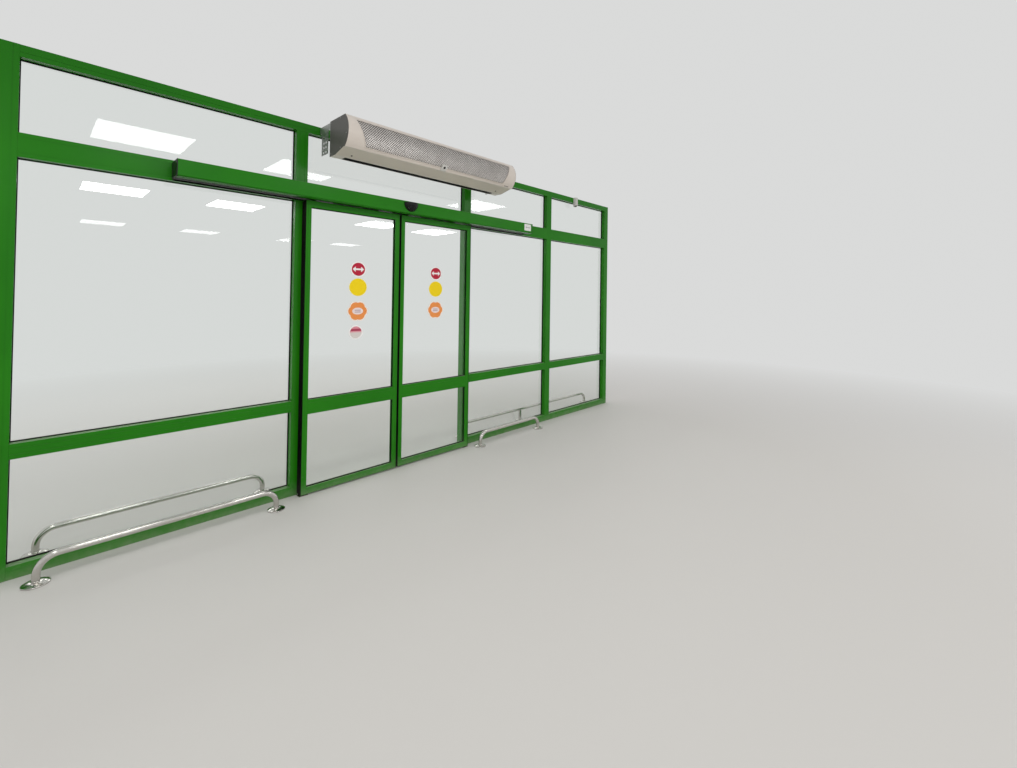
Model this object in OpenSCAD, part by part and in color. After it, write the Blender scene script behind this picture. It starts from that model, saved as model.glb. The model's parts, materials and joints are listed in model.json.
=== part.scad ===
// Glazed entrance screen with an automatic pair of sliding doors.
// X runs along the screen, -Y faces the room, +Z is up. The origin is on the
// floor, in the middle of the left jamb's width and of the glass.

/* [Layout] */
// Clear width of the fixed bay left of the doors
left_bay_w = 1300; // [700:10:1600]
// Clear width between the two door jambs
door_w = 1440; // [1200:10:1700]
// Clear width of the sidelight right of the doors
sidelight_w = 1130; // [750:10:1400]
// Clear width of the last bay on the right
end_bay_w = 1110; // [500:10:1400]

/* [Frame] */
// Face width of every post
post_w = 80; // [60:1:110]
// How far the frame stands out in front of the middle of the glass
frame_out = 50; // [40:1:70]
// Wall of the frame behind the glazing groove
back_wall = 4; // [3:0.5:20]
// Wall of the aluminium sections
wall = 3; // [2:0.5:4]
// Edge radius of the sections
edge_r = 1.5; // [0.5:0.5:3]
// Thickness of the plate that closes each post at the floor
foot_t = 6; // [4:1:10]
// Height of the head rail
head_h = 60; // [50:1:90]
// Underside of the transom above the floor
transom_z = 2050; // [1950:10:2150]
// Height of the transom
transom_h = 120; // [110:1:150]
// Clear height of the lights over the transom
toplight_h = 370; // [300:10:600]
// Underside of the middle rails above the floor
mid_rail_z = 580; // [300:10:900]
// Height of the middle rails
mid_rail_h = 75; // [50:1:110]
// Height of the bottom rails
sill_h = 65; // [50:1:120]

/* [Glazing] */
// Thickness of the glass
glass_t = 8; // [6:1:12]
// Thickness of the rubber on each side of the glass
rubber_t = 5; // [3:0.5:7]
// Depth of the glazing groove
groove_d = 15; // [12:1:20]
// Room left between the edge of the glass and the bottom of its groove
glass_room = 3; // [2:0.5:5]
// How far the rubber shows past the frame
rubber_lip = 4; // [2:0.5:8]

// Height of the glazing beads that close the room side of each groove
bead_h = 22; // [20:1:26]
// Width of the line between a bead and its section
bead_line_w = 1.5; // [1:0.5:2]
// Depth of the line between a bead and its section
bead_line_d = 1.2; // [0.8:0.1:1.5]

/* [Sliding leaves] */
// Depth of the leaf sections
leaf_d = 44; // [40:1:60]
// Face width of the leaf stiles
stile_w = 38; // [34:1:60]
// Gap between the frame and the leaves
leaf_gap = 16; // [14:1:30]
// How far a closed leaf laps over its jamb
leaf_lap = 30; // [20:1:50]
// Gap between the two closed leaves
meeting_gap = 12; // [10:1:20]
// Gap under the leaves
floor_gap = 10; // [9:1:20]
// Height of the leaf's bottom rail
leaf_bottom_h = 45; // [42:1:90]
// Underside of the leaf's middle rail above the floor
leaf_mid_z = 562; // [300:1:900]
// Height of the leaf's middle rail
leaf_mid_h = 100; // [50:1:120]
// Height of the leaf's top rail
leaf_top_h = 47; // [40:1:80]
// How far each closed leaf's rubber nose stands out of its stile
nose_out = 3.5; // [2:0.5:4]
// Width of the groove under the leaf that the floor guide runs in
guide_groove_w = 14; // [12:1:16]
// Depth of the groove under the leaf
guide_groove_d = 18; // [14:1:20]

/* [Operator header] */
// Length of the header
header_w = 3015; // [2990:5:3200]
// How far the header's middle lies right of the doorway's middle
header_shift = 17.5; // [0:0.5:18]
// Depth of the header, from the frame to its front
header_d = 140; // [135:1:180]
// Height of the header
header_h = 95; // [93:1:120]
// Gap between the leaves and the header
header_gap = 8; // [6:1:12]
// Thickness of the cover sheet
cover_t = 2.5; // [2:0.5:4]
// Radius of the cover's two front edges
cover_r = 4; // [3:0.5:6]
// Thickness of the beam's walls and of its track shelf
beam_t = 5; // [4:0.5:6]
// Thickness of the end plates
end_plate_t = 4; // [3:1:8]
// Height of the track shelf's top over the header's underside
track_rise = 30; // [29:1:34]
// Radius of the track's round rail head
rail_head_r = 3; // [2:0.5:4]
// Tread radius of the carriage rollers, at the bottom of their groove
tread_r = 15; // [12:0.5:17]
// Width of the carriage rollers
roller_w = 12; // [10:1:16]
// Running clearance of the rollers on the rail head
roller_play = 0.3; // [0.2:0.1:0.5]
// Length of a carriage
carriage_l = 120; // [90:1:160]
// Distance from a leaf's end to the middle of its carriage
carriage_inset = 130; // [100:1:200]
// Thickness of the carriage plate
carriage_t = 6; // [4:1:8]
// Radius of the belt pulleys
pulley_r = 22; // [16:1:24]
// Length of the motor beside its gearbox
motor_l = 130; // [90:5:180]
// Length of the gearbox
gearbox_l = 70; // [50:5:90]
// Distance from a pulley's axis to the header's end
pulley_inset = 110; // [80:5:200]
// Width of the belt
belt_w = 12; // [8:1:16]
// Thickness of the belt
belt_t = 3; // [2:0.5:4]
// Radius of the round presence sensor on the header's front
sensor_r = 66; // [40:1:70]
// How far the sensor's middle lies right of the doorway's middle
sensor_shift = 43; // [0:1:80]
// Distance of the sensor's flat top below the header's top
sensor_drop = 11; // [3:1:12]
// How far the sensor's middle lies behind the header's front
sensor_sink = 18; // [10:1:24]

/* [Air curtain] */
// Length of the air curtain
curtain_w = 1595; // [1200:5:2000]
// Distance from the left jamb's middle to the curtain's left end
curtain_x = 120; // [60:5:200]
// Distance from the frame to the curtain's back
curtain_back = 166; // [100:1:250]
// Depth of the curtain
curtain_d = 270; // [240:1:320]
// Height of the curtain
curtain_h = 245; // [225:1:300]
// Thickness of the curtain's end plates
curtain_end_t = 2; // [1:0.5:4]
// Radius of the curtain's round front
front_r = 140; // [128:1:155]
// Drop of the round front's centre below the curtain's top
front_drop = 108; // [95:1:118]
// Height of the sloping chin under the round front
chin_h = 30; // [20:1:40]
// Distance from the curtain's front to the top of its chin
chin_in = 72; // [60:1:85]
// Depth of the sloping chin
chin_d = 118; // [80:1:125]
// Distance of the intake's upper corners from the curtain's ends
intake_high = 55; // [40:5:100]
// Distance of the intake's lower corners from the curtain's ends
intake_low = 135; // [100:5:180]
// Thickness of the intake grille
grille_t = 2; // [1:0.5:4]
// Depth of the recess behind the grille
grille_recess = 25; // [8:1:40]
// Height of the plain strip under the grille
grille_low = 14; // [8:1:25]
// Height of the plain strip over the grille
grille_high = 22; // [12:1:35]
// Length of a diamond hole with its strand
mesh_long = 60; // [40:5:90]
// Height of a diamond hole with its strand
mesh_short = 24; // [16:1:36]
// Width of the strands between the diamond holes
strand_w = 5; // [3:0.5:7]
// Distance from the curtain's left end to the middle of its receiver
receiver_x = 804; // [200:1:1200]
// Length of the receiver
receiver_w = 52; // [30:1:90]
// Height of the receiver
receiver_h = 40; // [25:1:60]
// How far the receiver stands out of the round front
receiver_out = 7; // [4:0.5:15]
// Distance of the air outlet's ends from the curtain's ends
outlet_inset = 80; // [20:5:140]
// Distance from the chin to the air outlet
outlet_gap = 15; // [10:1:20]
// Width of the air outlet
outlet_w = 60; // [40:1:60]
// Depth of the air outlet
outlet_deep = 30; // [20:1:50]
// Thickness of the vanes in the air outlet
vane_t = 3; // [2:0.5:4]
// Width of the curtain's brackets
bracket_w = 40; // [30:1:60]
// Thickness of the brackets' sheet
bracket_t = 3; // [2:0.5:5]
// Width of the punched tongue under each bracket's arm
tongue_w = 100; // [60:1:110]
// Radius of the punched holes
punch_r = 9; // [5:0.5:12]
// Distance between the punched holes
punch_pitch = 34; // [26:1:50]

/* [Alarm detector] */
// Distance from the last mullion to the middle of the detector
alarm_inset = 440; // [100:5:900]
// Width of the detector
alarm_w = 50; // [40:1:70]
// Height of the detector
alarm_h = 108; // [70:1:125]
// How far the detector stands out of the head rail
alarm_d = 42; // [38:1:70]

/* [Guard rails] */
// Radius of the guard tube
tube_r = 16; // [15:1:25]
// Height of the tube's axis above the floor
tube_z = 124; // [100:1:200]
// Distance from the frame's face to the tube's axis
tube_out = 130; // [115:1:200]
// Radius of the tube's bends
bend_r = 50; // [45:1:80]
// Radius of the floor flanges
flange_r = 52; // [35:1:60]
// Thickness of the floor flanges
flange_t = 6; // [4:1:10]
// Height of the dome over each flange
rose_h = 12; // [6:1:20]
// Width of the flat rim round the dome
rose_rim = 3; // [2:0.5:6]
// Distance of the guards' outer legs from the end of their bay
guard_end = 100; // [60:5:200]
// Distance of the room side's left guard from the left jamb
guard_left_gap = 130; // [60:5:250]
// Distance of the room side's right guard from the right jamb
guard_right_gap = 45; // [45:5:200]
// Distance of the room side's right guard from the sidelight's far mullion
guard_short = 265; // [60:5:400]
// Distance from the sidelight's far mullion to the middle leg of the far side's right guard
guard_mid_gap = 160; // [120:5:600]

/* [Hidden] */
$fn = 64;
over = 1;
green = [0.13, 0.5, 0.1];
black = [0.05, 0.05, 0.05];
clear = [0.75, 0.85, 0.85, 0.35];
steel = [0.75, 0.75, 0.75];
white = [0.88, 0.88, 0.86];

// Lines across the screen, from left to right
jamb_l = post_w / 2;
jamb_r = jamb_l + door_w;
door_mid = (jamb_l + jamb_r) / 2;
side_l = jamb_r + post_w;
side_r = side_l + sidelight_w;
end_l = side_r + post_w;
end_r = end_l + end_bay_w;
left_r = -post_w / 2;
left_l = left_r - left_bay_w;
BAYS = [[left_l, left_r], [side_l, side_r], [end_l, end_r]];
TOPLIGHTS = [[left_l, left_r], [jamb_l, jamb_r], [side_l, side_r], [end_l, end_r]];

// Heights of the frame
transom_top = transom_z + transom_h;
head_z = transom_top + toplight_h;
height = head_z + head_h;
mid_rail_top = mid_rail_z + mid_rail_h;
groove_w = glass_t + 2 * rubber_t;
glass_bite = groove_d - glass_room;
face_y = -frame_out;
back_y = groove_w / 2 + back_wall;
frame_d = back_y - face_y;
frame_y = (face_y + back_y) / 2;

// The closed left leaf; the right one is its mirror image about the doorway
leaf_y = face_y - leaf_gap - leaf_d / 2;
leaf_l = jamb_l - leaf_lap;
leaf_r = door_mid - meeting_gap / 2;
header_z = transom_z + 10;
leaf_top = header_z - header_gap;
leaf_mid_top = leaf_mid_z + leaf_mid_h;
leaf_top_z = leaf_top - leaf_top_h;
leaf_bottom_top = floor_gap + leaf_bottom_h;
leaf_glass_l = leaf_l + stile_w;
leaf_glass_r = leaf_r - stile_w;
brush_w = 12;
brush_edge = 4;
brush_out = leaf_gap - 6;
fin_t = guide_groove_w - 6;
fin_l = 36;
fin_top_gap = 4;
guide_foot_t = 4;

// Inside the header
header_l = door_mid + header_shift - header_w / 2;
header_r = door_mid + header_shift + header_w / 2;
header_front = face_y - header_d;
header_top = header_z + header_h;
flange_z = header_top - cover_t - beam_t;
shelf_top = header_z + track_rise;
rail_head_rise = 2;
rail_head_z = shelf_top + rail_head_rise;
roller_r = tread_r + rail_head_r;
roller_z = rail_head_z + rail_head_r + roller_play + tread_r;
running_gap = 5;
spacer_l = 4;
shelf_tip_y = leaf_y - roller_w / 2 - spacer_l + running_gap;
plate_y = leaf_y - roller_w / 2 - spacer_l - carriage_t;
lip_y = plate_y - running_gap - 3;
belt_room = 20;
belt_y = plate_y - belt_room - belt_w;
belt_z = header_z + (flange_z - header_z) / 2;
idler_x = header_l + pulley_inset;
motor_x = header_r - pulley_inset;
clamp_l = 40;
shaft_l = 5;
shaft_r = 8;
motor_play = 6;

// The air curtain's section: a round front over a flat chin
curtain_r = curtain_x + curtain_w;
curtain_back_y = face_y - curtain_back;
curtain_front_y = curtain_back_y - curtain_d;
curtain_top = height;
curtain_z = curtain_top - curtain_h;
front_arc_y = curtain_front_y + front_r;
front_arc_z = curtain_top - front_drop;
chin_top = curtain_z + chin_h;
chin_y = curtain_front_y + chin_in;
chin_back = chin_y + chin_d;
grille_z = chin_top + grille_low;
grille_top = curtain_top - grille_high;
mesh_edge = 10;
outlet_y = chin_back + outlet_gap;
vane_top = curtain_z + outlet_deep - 4;
seat_gap = 0.3;
arm_edge = 8;
alarm_x = end_l + alarm_inset;

// The guards stand on both sides of the screen
guard_y = face_y - tube_out;

// Flat shapes

module soft_rect(w, d) {
    square([w - 2 * edge_r, d], center = true);
    square([w, d - 2 * edge_r], center = true);
    for (x = [-1, 1], y = [-1, 1])
        translate([x * (w / 2 - edge_r), y * (d / 2 - edge_r)]) circle(edge_r);
}

// Hollow section, w wide and d deep, with a glazing groove on the sides asked for
// and the line of its bead on the room side
module section(w, d, near = false, far = false, groove_y = 0) {
    difference() {
        soft_rect(w, d);
        difference() {
            square([w - 2 * wall, d - 2 * wall], center = true);
            if (near) translate([-w / 2, groove_y - groove_w / 2 - wall])
                square([groove_d + wall, groove_w + 2 * wall]);
            if (far) translate([w / 2 - groove_d - wall, groove_y - groove_w / 2 - wall])
                square([groove_d + wall, groove_w + 2 * wall]);
        }
        if (near) translate([-w / 2 - over, groove_y - groove_w / 2])
            square([groove_d + over, groove_w]);
        if (far) translate([w / 2 - groove_d, groove_y - groove_w / 2])
            square([groove_d + over, groove_w]);
        if (near) translate([-w / 2 + bead_h, -d / 2 - over])
            square([bead_line_w, bead_line_d + over]);
        if (far) translate([w / 2 - bead_h - bead_line_w, -d / 2 - over])
            square([bead_line_w, bead_line_d + over]);
    }
}

// Extrudes a flat shape along X: its x becomes Y and its y becomes Z
module along_x(from, to) {
    translate([from, 0, 0]) rotate([90, 0, 90]) linear_extrude(to - from) children();
}

// Frame members

module post(x, top, near, far, near_from = 0, far_from = 0) {
    translate([x, frame_y, 0]) {
        linear_extrude(foot_t) soft_rect(post_w, frame_d);
        split = max(near_from, far_from, foot_t);
        if (split > foot_t) translate([0, 0, foot_t])
            linear_extrude(split - foot_t)
                section(post_w, frame_d, near && near_from == 0, far && far_from == 0, -frame_y);
        translate([0, 0, split]) linear_extrude(top - split)
            section(post_w, frame_d, near, far, -frame_y);
    }
}

module rail(from, to, z, h, y, d, under, over_top, groove_y = 0) {
    along_x(from, to) translate([y, z + h / 2])
        rotate(-90) section(h, d, over_top, under, groove_y);
}

module frame_rail(from, to, z, h, under, over_top)
    rail(from, to, z, h, frame_y, frame_d, under, over_top, -frame_y);

module pane(x, z, y = 0) {
    translate([x[0] - glass_bite, y - glass_t / 2, z[0] - glass_bite])
        cube([x[1] - x[0] + 2 * glass_bite, glass_t, z[1] - z[0] + 2 * glass_bite]);
}

// One rubber channel that wraps the edge of a pane and fills its groove
module gasket(x, z, y = 0) {
    difference() {
        translate([x[0] - groove_d, y - groove_w / 2, z[0] - groove_d])
            cube([x[1] - x[0] + 2 * groove_d, groove_w, z[1] - z[0] + 2 * groove_d]);
        translate([x[0] + rubber_lip, y - groove_w, z[0] + rubber_lip])
            cube([x[1] - x[0] - 2 * rubber_lip, 2 * groove_w, z[1] - z[0] - 2 * rubber_lip]);
        pane(x, z, y);
    }
}

module left_end_post() color(green) post(left_l - post_w / 2, height, false, true);
module left_jamb() color(green) post(0, head_z, true, true, 0, transom_z);
module right_jamb() color(green) post(jamb_r + post_w / 2, head_z, true, true, transom_z, 0);
module sidelight_mullion() color(green) post(side_r + post_w / 2, head_z, true, true);
module right_end_post() color(green) post(end_r + post_w / 2, height, true, false);
module head_rail() color(green) frame_rail(left_l, end_r, head_z, head_h, true, false);

module transom(bay, under) color(green)
    frame_rail(bay[0], bay[1], transom_z, transom_h, under, true);

module sills() color(green) for (bay = BAYS)
    frame_rail(bay[0], bay[1], 0, sill_h, false, true);
module mid_rails() color(green) for (bay = BAYS)
    frame_rail(bay[0], bay[1], mid_rail_z, mid_rail_h, true, true);

module bay_glass(bay) color(clear) {
    pane(bay, [sill_h, mid_rail_z]);
    pane(bay, [mid_rail_top, transom_z]);
}
module toplight_glass() color(clear) for (bay = TOPLIGHTS) pane(bay, [transom_top, head_z]);

module bay_gaskets() color(black) for (bay = BAYS) {
    gasket(bay, [sill_h, mid_rail_z]);
    gasket(bay, [mid_rail_top, transom_z]);
}
module toplight_gaskets() color(black) for (bay = TOPLIGHTS) gasket(bay, [transom_top, head_z]);

// Brush strips on the jambs that the leaves slide past
module jamb_brushes() color(black)
    for (x = [jamb_l - brush_w - brush_edge, jamb_r + brush_edge])
        translate([x, face_y - brush_out, floor_gap])
            cube([brush_w, brush_out, transom_z - floor_gap - 5]);

// A fin that runs in the groove under the leaf, on a foot against the jamb
module floor_guide() {
    foot_l = fin_l + 24;
    translate([leaf_l + 4 + fin_l / 2, 0, 0]) {
        translate([-foot_l / 2, leaf_y - leaf_d / 2, 0])
            cube([foot_l, face_y - leaf_y + leaf_d / 2, guide_foot_t]);
        translate([-fin_l / 2, leaf_y - fin_t / 2, 0])
            cube([fin_l, fin_t, floor_gap + guide_groove_d - fin_top_gap]);
    }
}
module floor_guides() color(steel) {
    floor_guide();
    mirror_door() floor_guide();
}

// Mirrors its children about the middle of the doorway
module mirror_door() {
    translate([2 * door_mid, 0, 0]) mirror([1, 0, 0]) children();
}

// Operator header

module header_beam() color(steel) along_x(header_l, header_r) {
    translate([face_y - beam_t, header_z]) square([beam_t, flange_z + beam_t - header_z]);
    translate([header_front + cover_t, flange_z]) square([header_d - cover_t, beam_t]);
    translate([shelf_tip_y, shelf_top - beam_t]) square([face_y - shelf_tip_y, beam_t]);
    translate([leaf_y - rail_head_r / 2, shelf_top]) square([rail_head_r, rail_head_rise]);
    translate([leaf_y, rail_head_z]) circle(rail_head_r);
}

module header_outline() {
    translate([header_front + cover_r, header_z]) square([header_d - cover_r, header_h]);
    translate([header_front, header_z + cover_r]) square([2 * cover_r, header_h - 2 * cover_r]);
    for (z = [header_z + cover_r, header_top - cover_r])
        translate([header_front + cover_r, z]) circle(cover_r);
}

module header_cover() color(green) along_x(header_l, header_r) difference() {
    header_outline();
    translate([header_front + cover_t, header_z + cover_t])
        square([header_d + over, header_h - 2 * cover_t]);
    translate([lip_y, header_z - over]) square([header_d, cover_t + 2 * over]);
}

module header_end_plates() color(black)
    for (x = [header_l - end_plate_t, header_r])
        along_x(x, x + end_plate_t) header_outline();

// Half dome with a flat top, cut off at the header's front
module door_sensor() color(black) {
    rim = 8;
    translate([door_mid + sensor_shift, header_front + sensor_sink, header_top - sensor_drop - rim])
    difference() {
        union() {
            sphere(sensor_r);
            cylinder(h = rim, r = sensor_r);
        }
        translate([-sensor_r - over, -sensor_sink, -sensor_r - over])
            cube([2 * (sensor_r + over), 2 * sensor_r, 2 * (sensor_r + over)]);
        translate([-sensor_r - over, -sensor_r - over, rim])
            cube([2 * (sensor_r + over), 2 * (sensor_r + over), sensor_r]);
    }
}

module pulley_at(x) {
    translate([x, belt_y + belt_w, belt_z]) rotate([90, 0, 0]) cylinder(h = belt_w, r = pulley_r);
}

module drive_motor() color(steel) {
    box_d = belt_y - shaft_l - header_front - cover_t - motor_play;
    box_h = flange_z - header_z - cover_t - motor_play;
    box_y = belt_y - shaft_l - box_d;
    translate([motor_x - gearbox_l / 2, box_y, flange_z - box_h])
        cube([gearbox_l, box_d, box_h]);
    translate([motor_x - gearbox_l / 2 - motor_l, box_y + box_d / 2, belt_z])
        rotate([0, 90, 0]) cylinder(h = motor_l, d = box_d);
    translate([motor_x, belt_y, belt_z]) rotate([90, 0, 0]) cylinder(h = shaft_l, r = shaft_r);
    pulley_at(motor_x);
}

module belt_idler() color(steel) {
    arm_w = 30;
    arm_t = 4;
    translate([idler_x - arm_w / 2, belt_y - shaft_l - arm_t, belt_z - arm_w / 2])
        cube([arm_w, arm_t, flange_z - belt_z + arm_w / 2]);
    translate([idler_x, belt_y, belt_z]) rotate([90, 0, 0]) cylinder(h = shaft_l, r = shaft_r);
    pulley_at(idler_x);
}

module belt_outline(r) {
    translate([idler_x, belt_z]) circle(r);
    translate([motor_x, belt_z]) circle(r);
    translate([idler_x, belt_z - r]) square([motor_x - idler_x, 2 * r]);
}
module drive_belt() color(black)
    translate([0, belt_y + belt_w, 0]) rotate([90, 0, 0]) linear_extrude(belt_w) difference() {
        belt_outline(pulley_r + belt_t);
        belt_outline(pulley_r);
    }

// The sliding leaves, drawn for the left one

module leaf_stile(x, groove_far) {
    difference() {
        translate([x + stile_w / 2, leaf_y, floor_gap]) linear_extrude(leaf_top - floor_gap)
            section(stile_w, leaf_d, !groove_far, groove_far);
        guide_slot();
    }
}

module guide_slot() {
    translate([leaf_l - over, leaf_y - guide_groove_w / 2, floor_gap - over])
        cube([leaf_r - leaf_l + 2 * over, guide_groove_w, guide_groove_d + over]);
}

module leaf_stiles() color(green) {
    leaf_stile(leaf_l, true);
    leaf_stile(leaf_glass_r, false);
}

module leaf_rails() color(green) {
    difference() {
        rail(leaf_glass_l, leaf_glass_r, floor_gap, leaf_bottom_h, leaf_y, leaf_d, false, true);
        guide_slot();
    }
    rail(leaf_glass_l, leaf_glass_r, leaf_mid_z, leaf_mid_h, leaf_y, leaf_d, true, true);
    rail(leaf_glass_l, leaf_glass_r, leaf_top_z, leaf_top_h, leaf_y, leaf_d, true, false);
}

module leaf_glass() color(clear) {
    pane([leaf_glass_l, leaf_glass_r], [leaf_bottom_top, leaf_mid_z], leaf_y);
    pane([leaf_glass_l, leaf_glass_r], [leaf_mid_top, leaf_top_z], leaf_y);
}

module leaf_gaskets() color(black) {
    gasket([leaf_glass_l, leaf_glass_r], [leaf_bottom_top, leaf_mid_z], leaf_y);
    gasket([leaf_glass_l, leaf_glass_r], [leaf_mid_top, leaf_top_z], leaf_y);
}

module leaf_nose() color(black)
    translate([leaf_r, leaf_y - leaf_d / 4, floor_gap]) cube([nose_out, leaf_d / 2, leaf_top - floor_gap]);

module roller(x) {
    translate([x, leaf_y + roller_w / 2, roller_z]) rotate([90, 0, 0]) rotate_extrude()
        difference() {
            square([roller_r, roller_w]);
            translate([roller_r + roller_play, roller_w / 2]) circle(rail_head_r + roller_play);
        }
    translate([x, leaf_y - roller_w / 2, roller_z]) rotate([90, 0, 0])
        cylinder(h = leaf_y - roller_w / 2 - plate_y - carriage_t, r = shaft_r);
}

// Plate with two rollers on the track, a low roller that stops it lifting, and a foot
module carriage(x) {
    low_r = 7;
    low_z = shelf_top - beam_t - running_gap - low_r;
    translate([x - carriage_l / 2, plate_y, leaf_top])
        cube([carriage_l, carriage_t, roller_z + roller_r - leaf_top]);
    translate([x - carriage_l / 2, plate_y + carriage_t, leaf_top])
        cube([carriage_l, leaf_y + leaf_d / 3 - plate_y - carriage_t, carriage_t]);
    for (side = [-1, 1]) roller(x + side * (carriage_l / 2 - roller_r - 4));
    translate([x, leaf_y + roller_w / 2, low_z]) rotate([90, 0, 0])
        cylinder(h = leaf_y + roller_w / 2 - plate_y - carriage_t, r = low_r);
}

// Arm from a carriage to the belt, clamped over one run
module belt_clamp(x, run_z) {
    jaw = 5;
    play = 0.5;
    translate([x - clamp_l / 2, belt_y - jaw, run_z - belt_t / 2 - jaw]) difference() {
        cube([clamp_l, plate_y - belt_y + jaw, belt_t + 2 * jaw]);
        translate([-over, jaw - play, jaw - play])
            cube([clamp_l + 2 * over, belt_w + 2 * play, belt_t + 2 * play]);
    }
}

module leaf_carriages(run) color(steel) {
    carriage(leaf_l + carriage_inset);
    carriage(leaf_r - carriage_inset);
    belt_clamp(leaf_r - carriage_inset, belt_z + run * (pulley_r + belt_t / 2));
}

// Air curtain

module curtain_outline() {
    difference() {
        union() {
            translate([front_arc_y, curtain_z])
                square([curtain_back_y - front_arc_y, curtain_h]);
            intersection() {
                translate([front_arc_y, front_arc_z]) circle(front_r);
                translate([curtain_front_y, curtain_z]) square([front_r, curtain_h]);
            }
        }
        polygon([[chin_back, curtain_z], [chin_y, chin_top], [curtain_front_y - over, chin_top],
            [curtain_front_y - over, curtain_z - over], [chin_back, curtain_z - over]]);
    }
}

// The strip of the round front between two radii and two heights
module front_strip(inner, outer, from, to) {
    intersection() {
        translate([front_arc_y, front_arc_z]) difference() {
            circle(outer);
            circle(inner);
        }
        translate([front_arc_y - outer - over, from]) square([outer + over, to - from]);
    }
}

// The part of the round front between two radii that the intake takes up,
// which is shorter along its lower edge
module intake(inner, outer) intersection() {
    along_x(curtain_x, curtain_r) front_strip(inner, outer, grille_z, grille_top);
    translate([0, front_arc_y, 0]) rotate([90, 0, 0]) linear_extrude(outer + over)
        polygon([[curtain_x + intake_low, grille_z], [curtain_r - intake_low, grille_z],
            [curtain_r - intake_high, grille_top], [curtain_x + intake_high, grille_top]]);
}

// Staggered diamond holes in a field h high, w_low long below and w_high long above
module diamonds(w_low, w_high, h) {
    strand_share = strand_w * norm([mesh_long, mesh_short]) / (mesh_long * mesh_short);
    half = [mesh_long, mesh_short] / 2 * (1 - strand_share);
    rows = floor(2 * h / mesh_short) - 1;
    for (row = [0 : rows - 1]) {
        z = (row - (rows - 1) / 2) * mesh_short / 2;
        odd = row % 2;
        w = w_low + (w_high - w_low) * (z / h + 0.5);
        n = floor((w / mesh_long - 1 + odd) / 2);
        for (column = [-n : n - odd])
            translate([(column + odd / 2) * mesh_long, z])
                polygon([[-half[0], 0], [0, -half[1]], [half[0], 0], [0, half[1]]]);
    }
}

module curtain_casing() color(white) difference() {
    along_x(curtain_x + curtain_end_t, curtain_r - curtain_end_t) curtain_outline();
    intake(front_r - grille_recess, front_r + over);
    along_x(curtain_x + outlet_inset, curtain_r - outlet_inset)
        translate([outlet_y, curtain_z - over]) square([outlet_w, outlet_deep + over]);
}

// Curved sheet in the recess, pierced by diamond holes
module curtain_grille() color(steel) difference() {
    intake(front_r - grille_t, front_r);
    translate([curtain_x + curtain_w / 2, front_arc_y, (grille_z + grille_top) / 2])
        rotate([90, 0, 0]) linear_extrude(front_r + over)
            diamonds(curtain_w - 2 * (intake_low + mesh_edge), curtain_w - 2 * (intake_high + mesh_edge),
                grille_top - grille_z - 2 * mesh_edge);
}

module curtain_receiver() color(white)
    along_x(curtain_x + receiver_x - receiver_w / 2, curtain_x + receiver_x + receiver_w / 2)
        front_strip(front_r + seat_gap, front_r + receiver_out, chin_top, chin_top + receiver_h);

module curtain_end_plates() color([0.5, 0.5, 0.5]) {
    along_x(curtain_x, curtain_x + curtain_end_t) curtain_outline();
    along_x(curtain_r - curtain_end_t, curtain_r) curtain_outline();
}

module curtain_nozzle() color(black) along_x(curtain_x + outlet_inset, curtain_r - outlet_inset) {
    translate([outlet_y, vane_top]) square([outlet_w, curtain_z + outlet_deep - vane_top]);
    for (y = [outlet_y, outlet_y + (outlet_w - vane_t) / 2, outlet_y + outlet_w - vane_t])
        translate([y, curtain_z]) square([vane_t, vane_top - curtain_z]);
}

// Punched cheek with an arm over the head rail and a tongue below it
module bracket_cheek() {
    arm_z = head_z + arm_edge;
    tongue_z = chin_top;
    tongue_y = (curtain_back_y + face_y - tongue_w) / 2;
    tongue_h = arm_z - tongue_z;
    rows = floor(tongue_h / punch_pitch);
    difference() {
        union() {
            translate([curtain_back_y, arm_z]) square([curtain_back, height - arm_edge - arm_z]);
            translate([tongue_y, tongue_z]) square([tongue_w, tongue_h]);
        }
        for (side = [-1, 1], row = [0 : rows - 1])
            translate([tongue_y + tongue_w / 2 + side * punch_pitch / 2,
                tongue_z + (row + 0.5) * punch_pitch]) circle(punch_r);
    }
}

// Folded bracket between the curtain's back and the head rail
module curtain_bracket() {
    along_x(curtain_x, curtain_x + bracket_t) bracket_cheek();
    translate([curtain_x, curtain_back_y, curtain_z]) cube([bracket_w, bracket_t, curtain_h]);
    translate([curtain_x, face_y - bracket_t, head_z + arm_edge])
        cube([bracket_w, bracket_t, head_h - 2 * arm_edge]);
}
module curtain_brackets() color(steel) {
    curtain_bracket();
    translate([2 * curtain_x + curtain_w, 0, 0]) mirror([1, 0, 0]) curtain_bracket();
}

// Detector with a round front, cut off slanting below
module alarm_detector() color(white) translate([alarm_x, face_y, height - alarm_h]) difference() {
    union() {
        translate([-alarm_w / 2, alarm_w / 2 - alarm_d, 0])
            cube([alarm_w, alarm_d - alarm_w / 2, alarm_h]);
        translate([0, alarm_w / 2 - alarm_d, 0]) cylinder(h = alarm_h, r = alarm_w / 2);
    }
    translate([-alarm_w, 0, -over]) cube([2 * alarm_w, alarm_w, alarm_h + 2 * over]);
    rotate([-25, 0, 0]) translate([-alarm_w, -2 * alarm_d, -alarm_h])
        cube([2 * alarm_w, 2 * alarm_d, alarm_h]);
}

// Guard rails

// Foot flange under a shallow dome
module rose() {
    base_r = flange_r - rose_rim;
    dome_r = (base_r * base_r + rose_h * rose_h) / (2 * rose_h);
    cylinder(h = flange_t, r = flange_r);
    intersection() {
        translate([0, 0, flange_t + rose_h - dome_r]) sphere(dome_r);
        translate([0, 0, flange_t - over]) cylinder(h = rose_h + 2 * over, r = base_r);
    }
}

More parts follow.
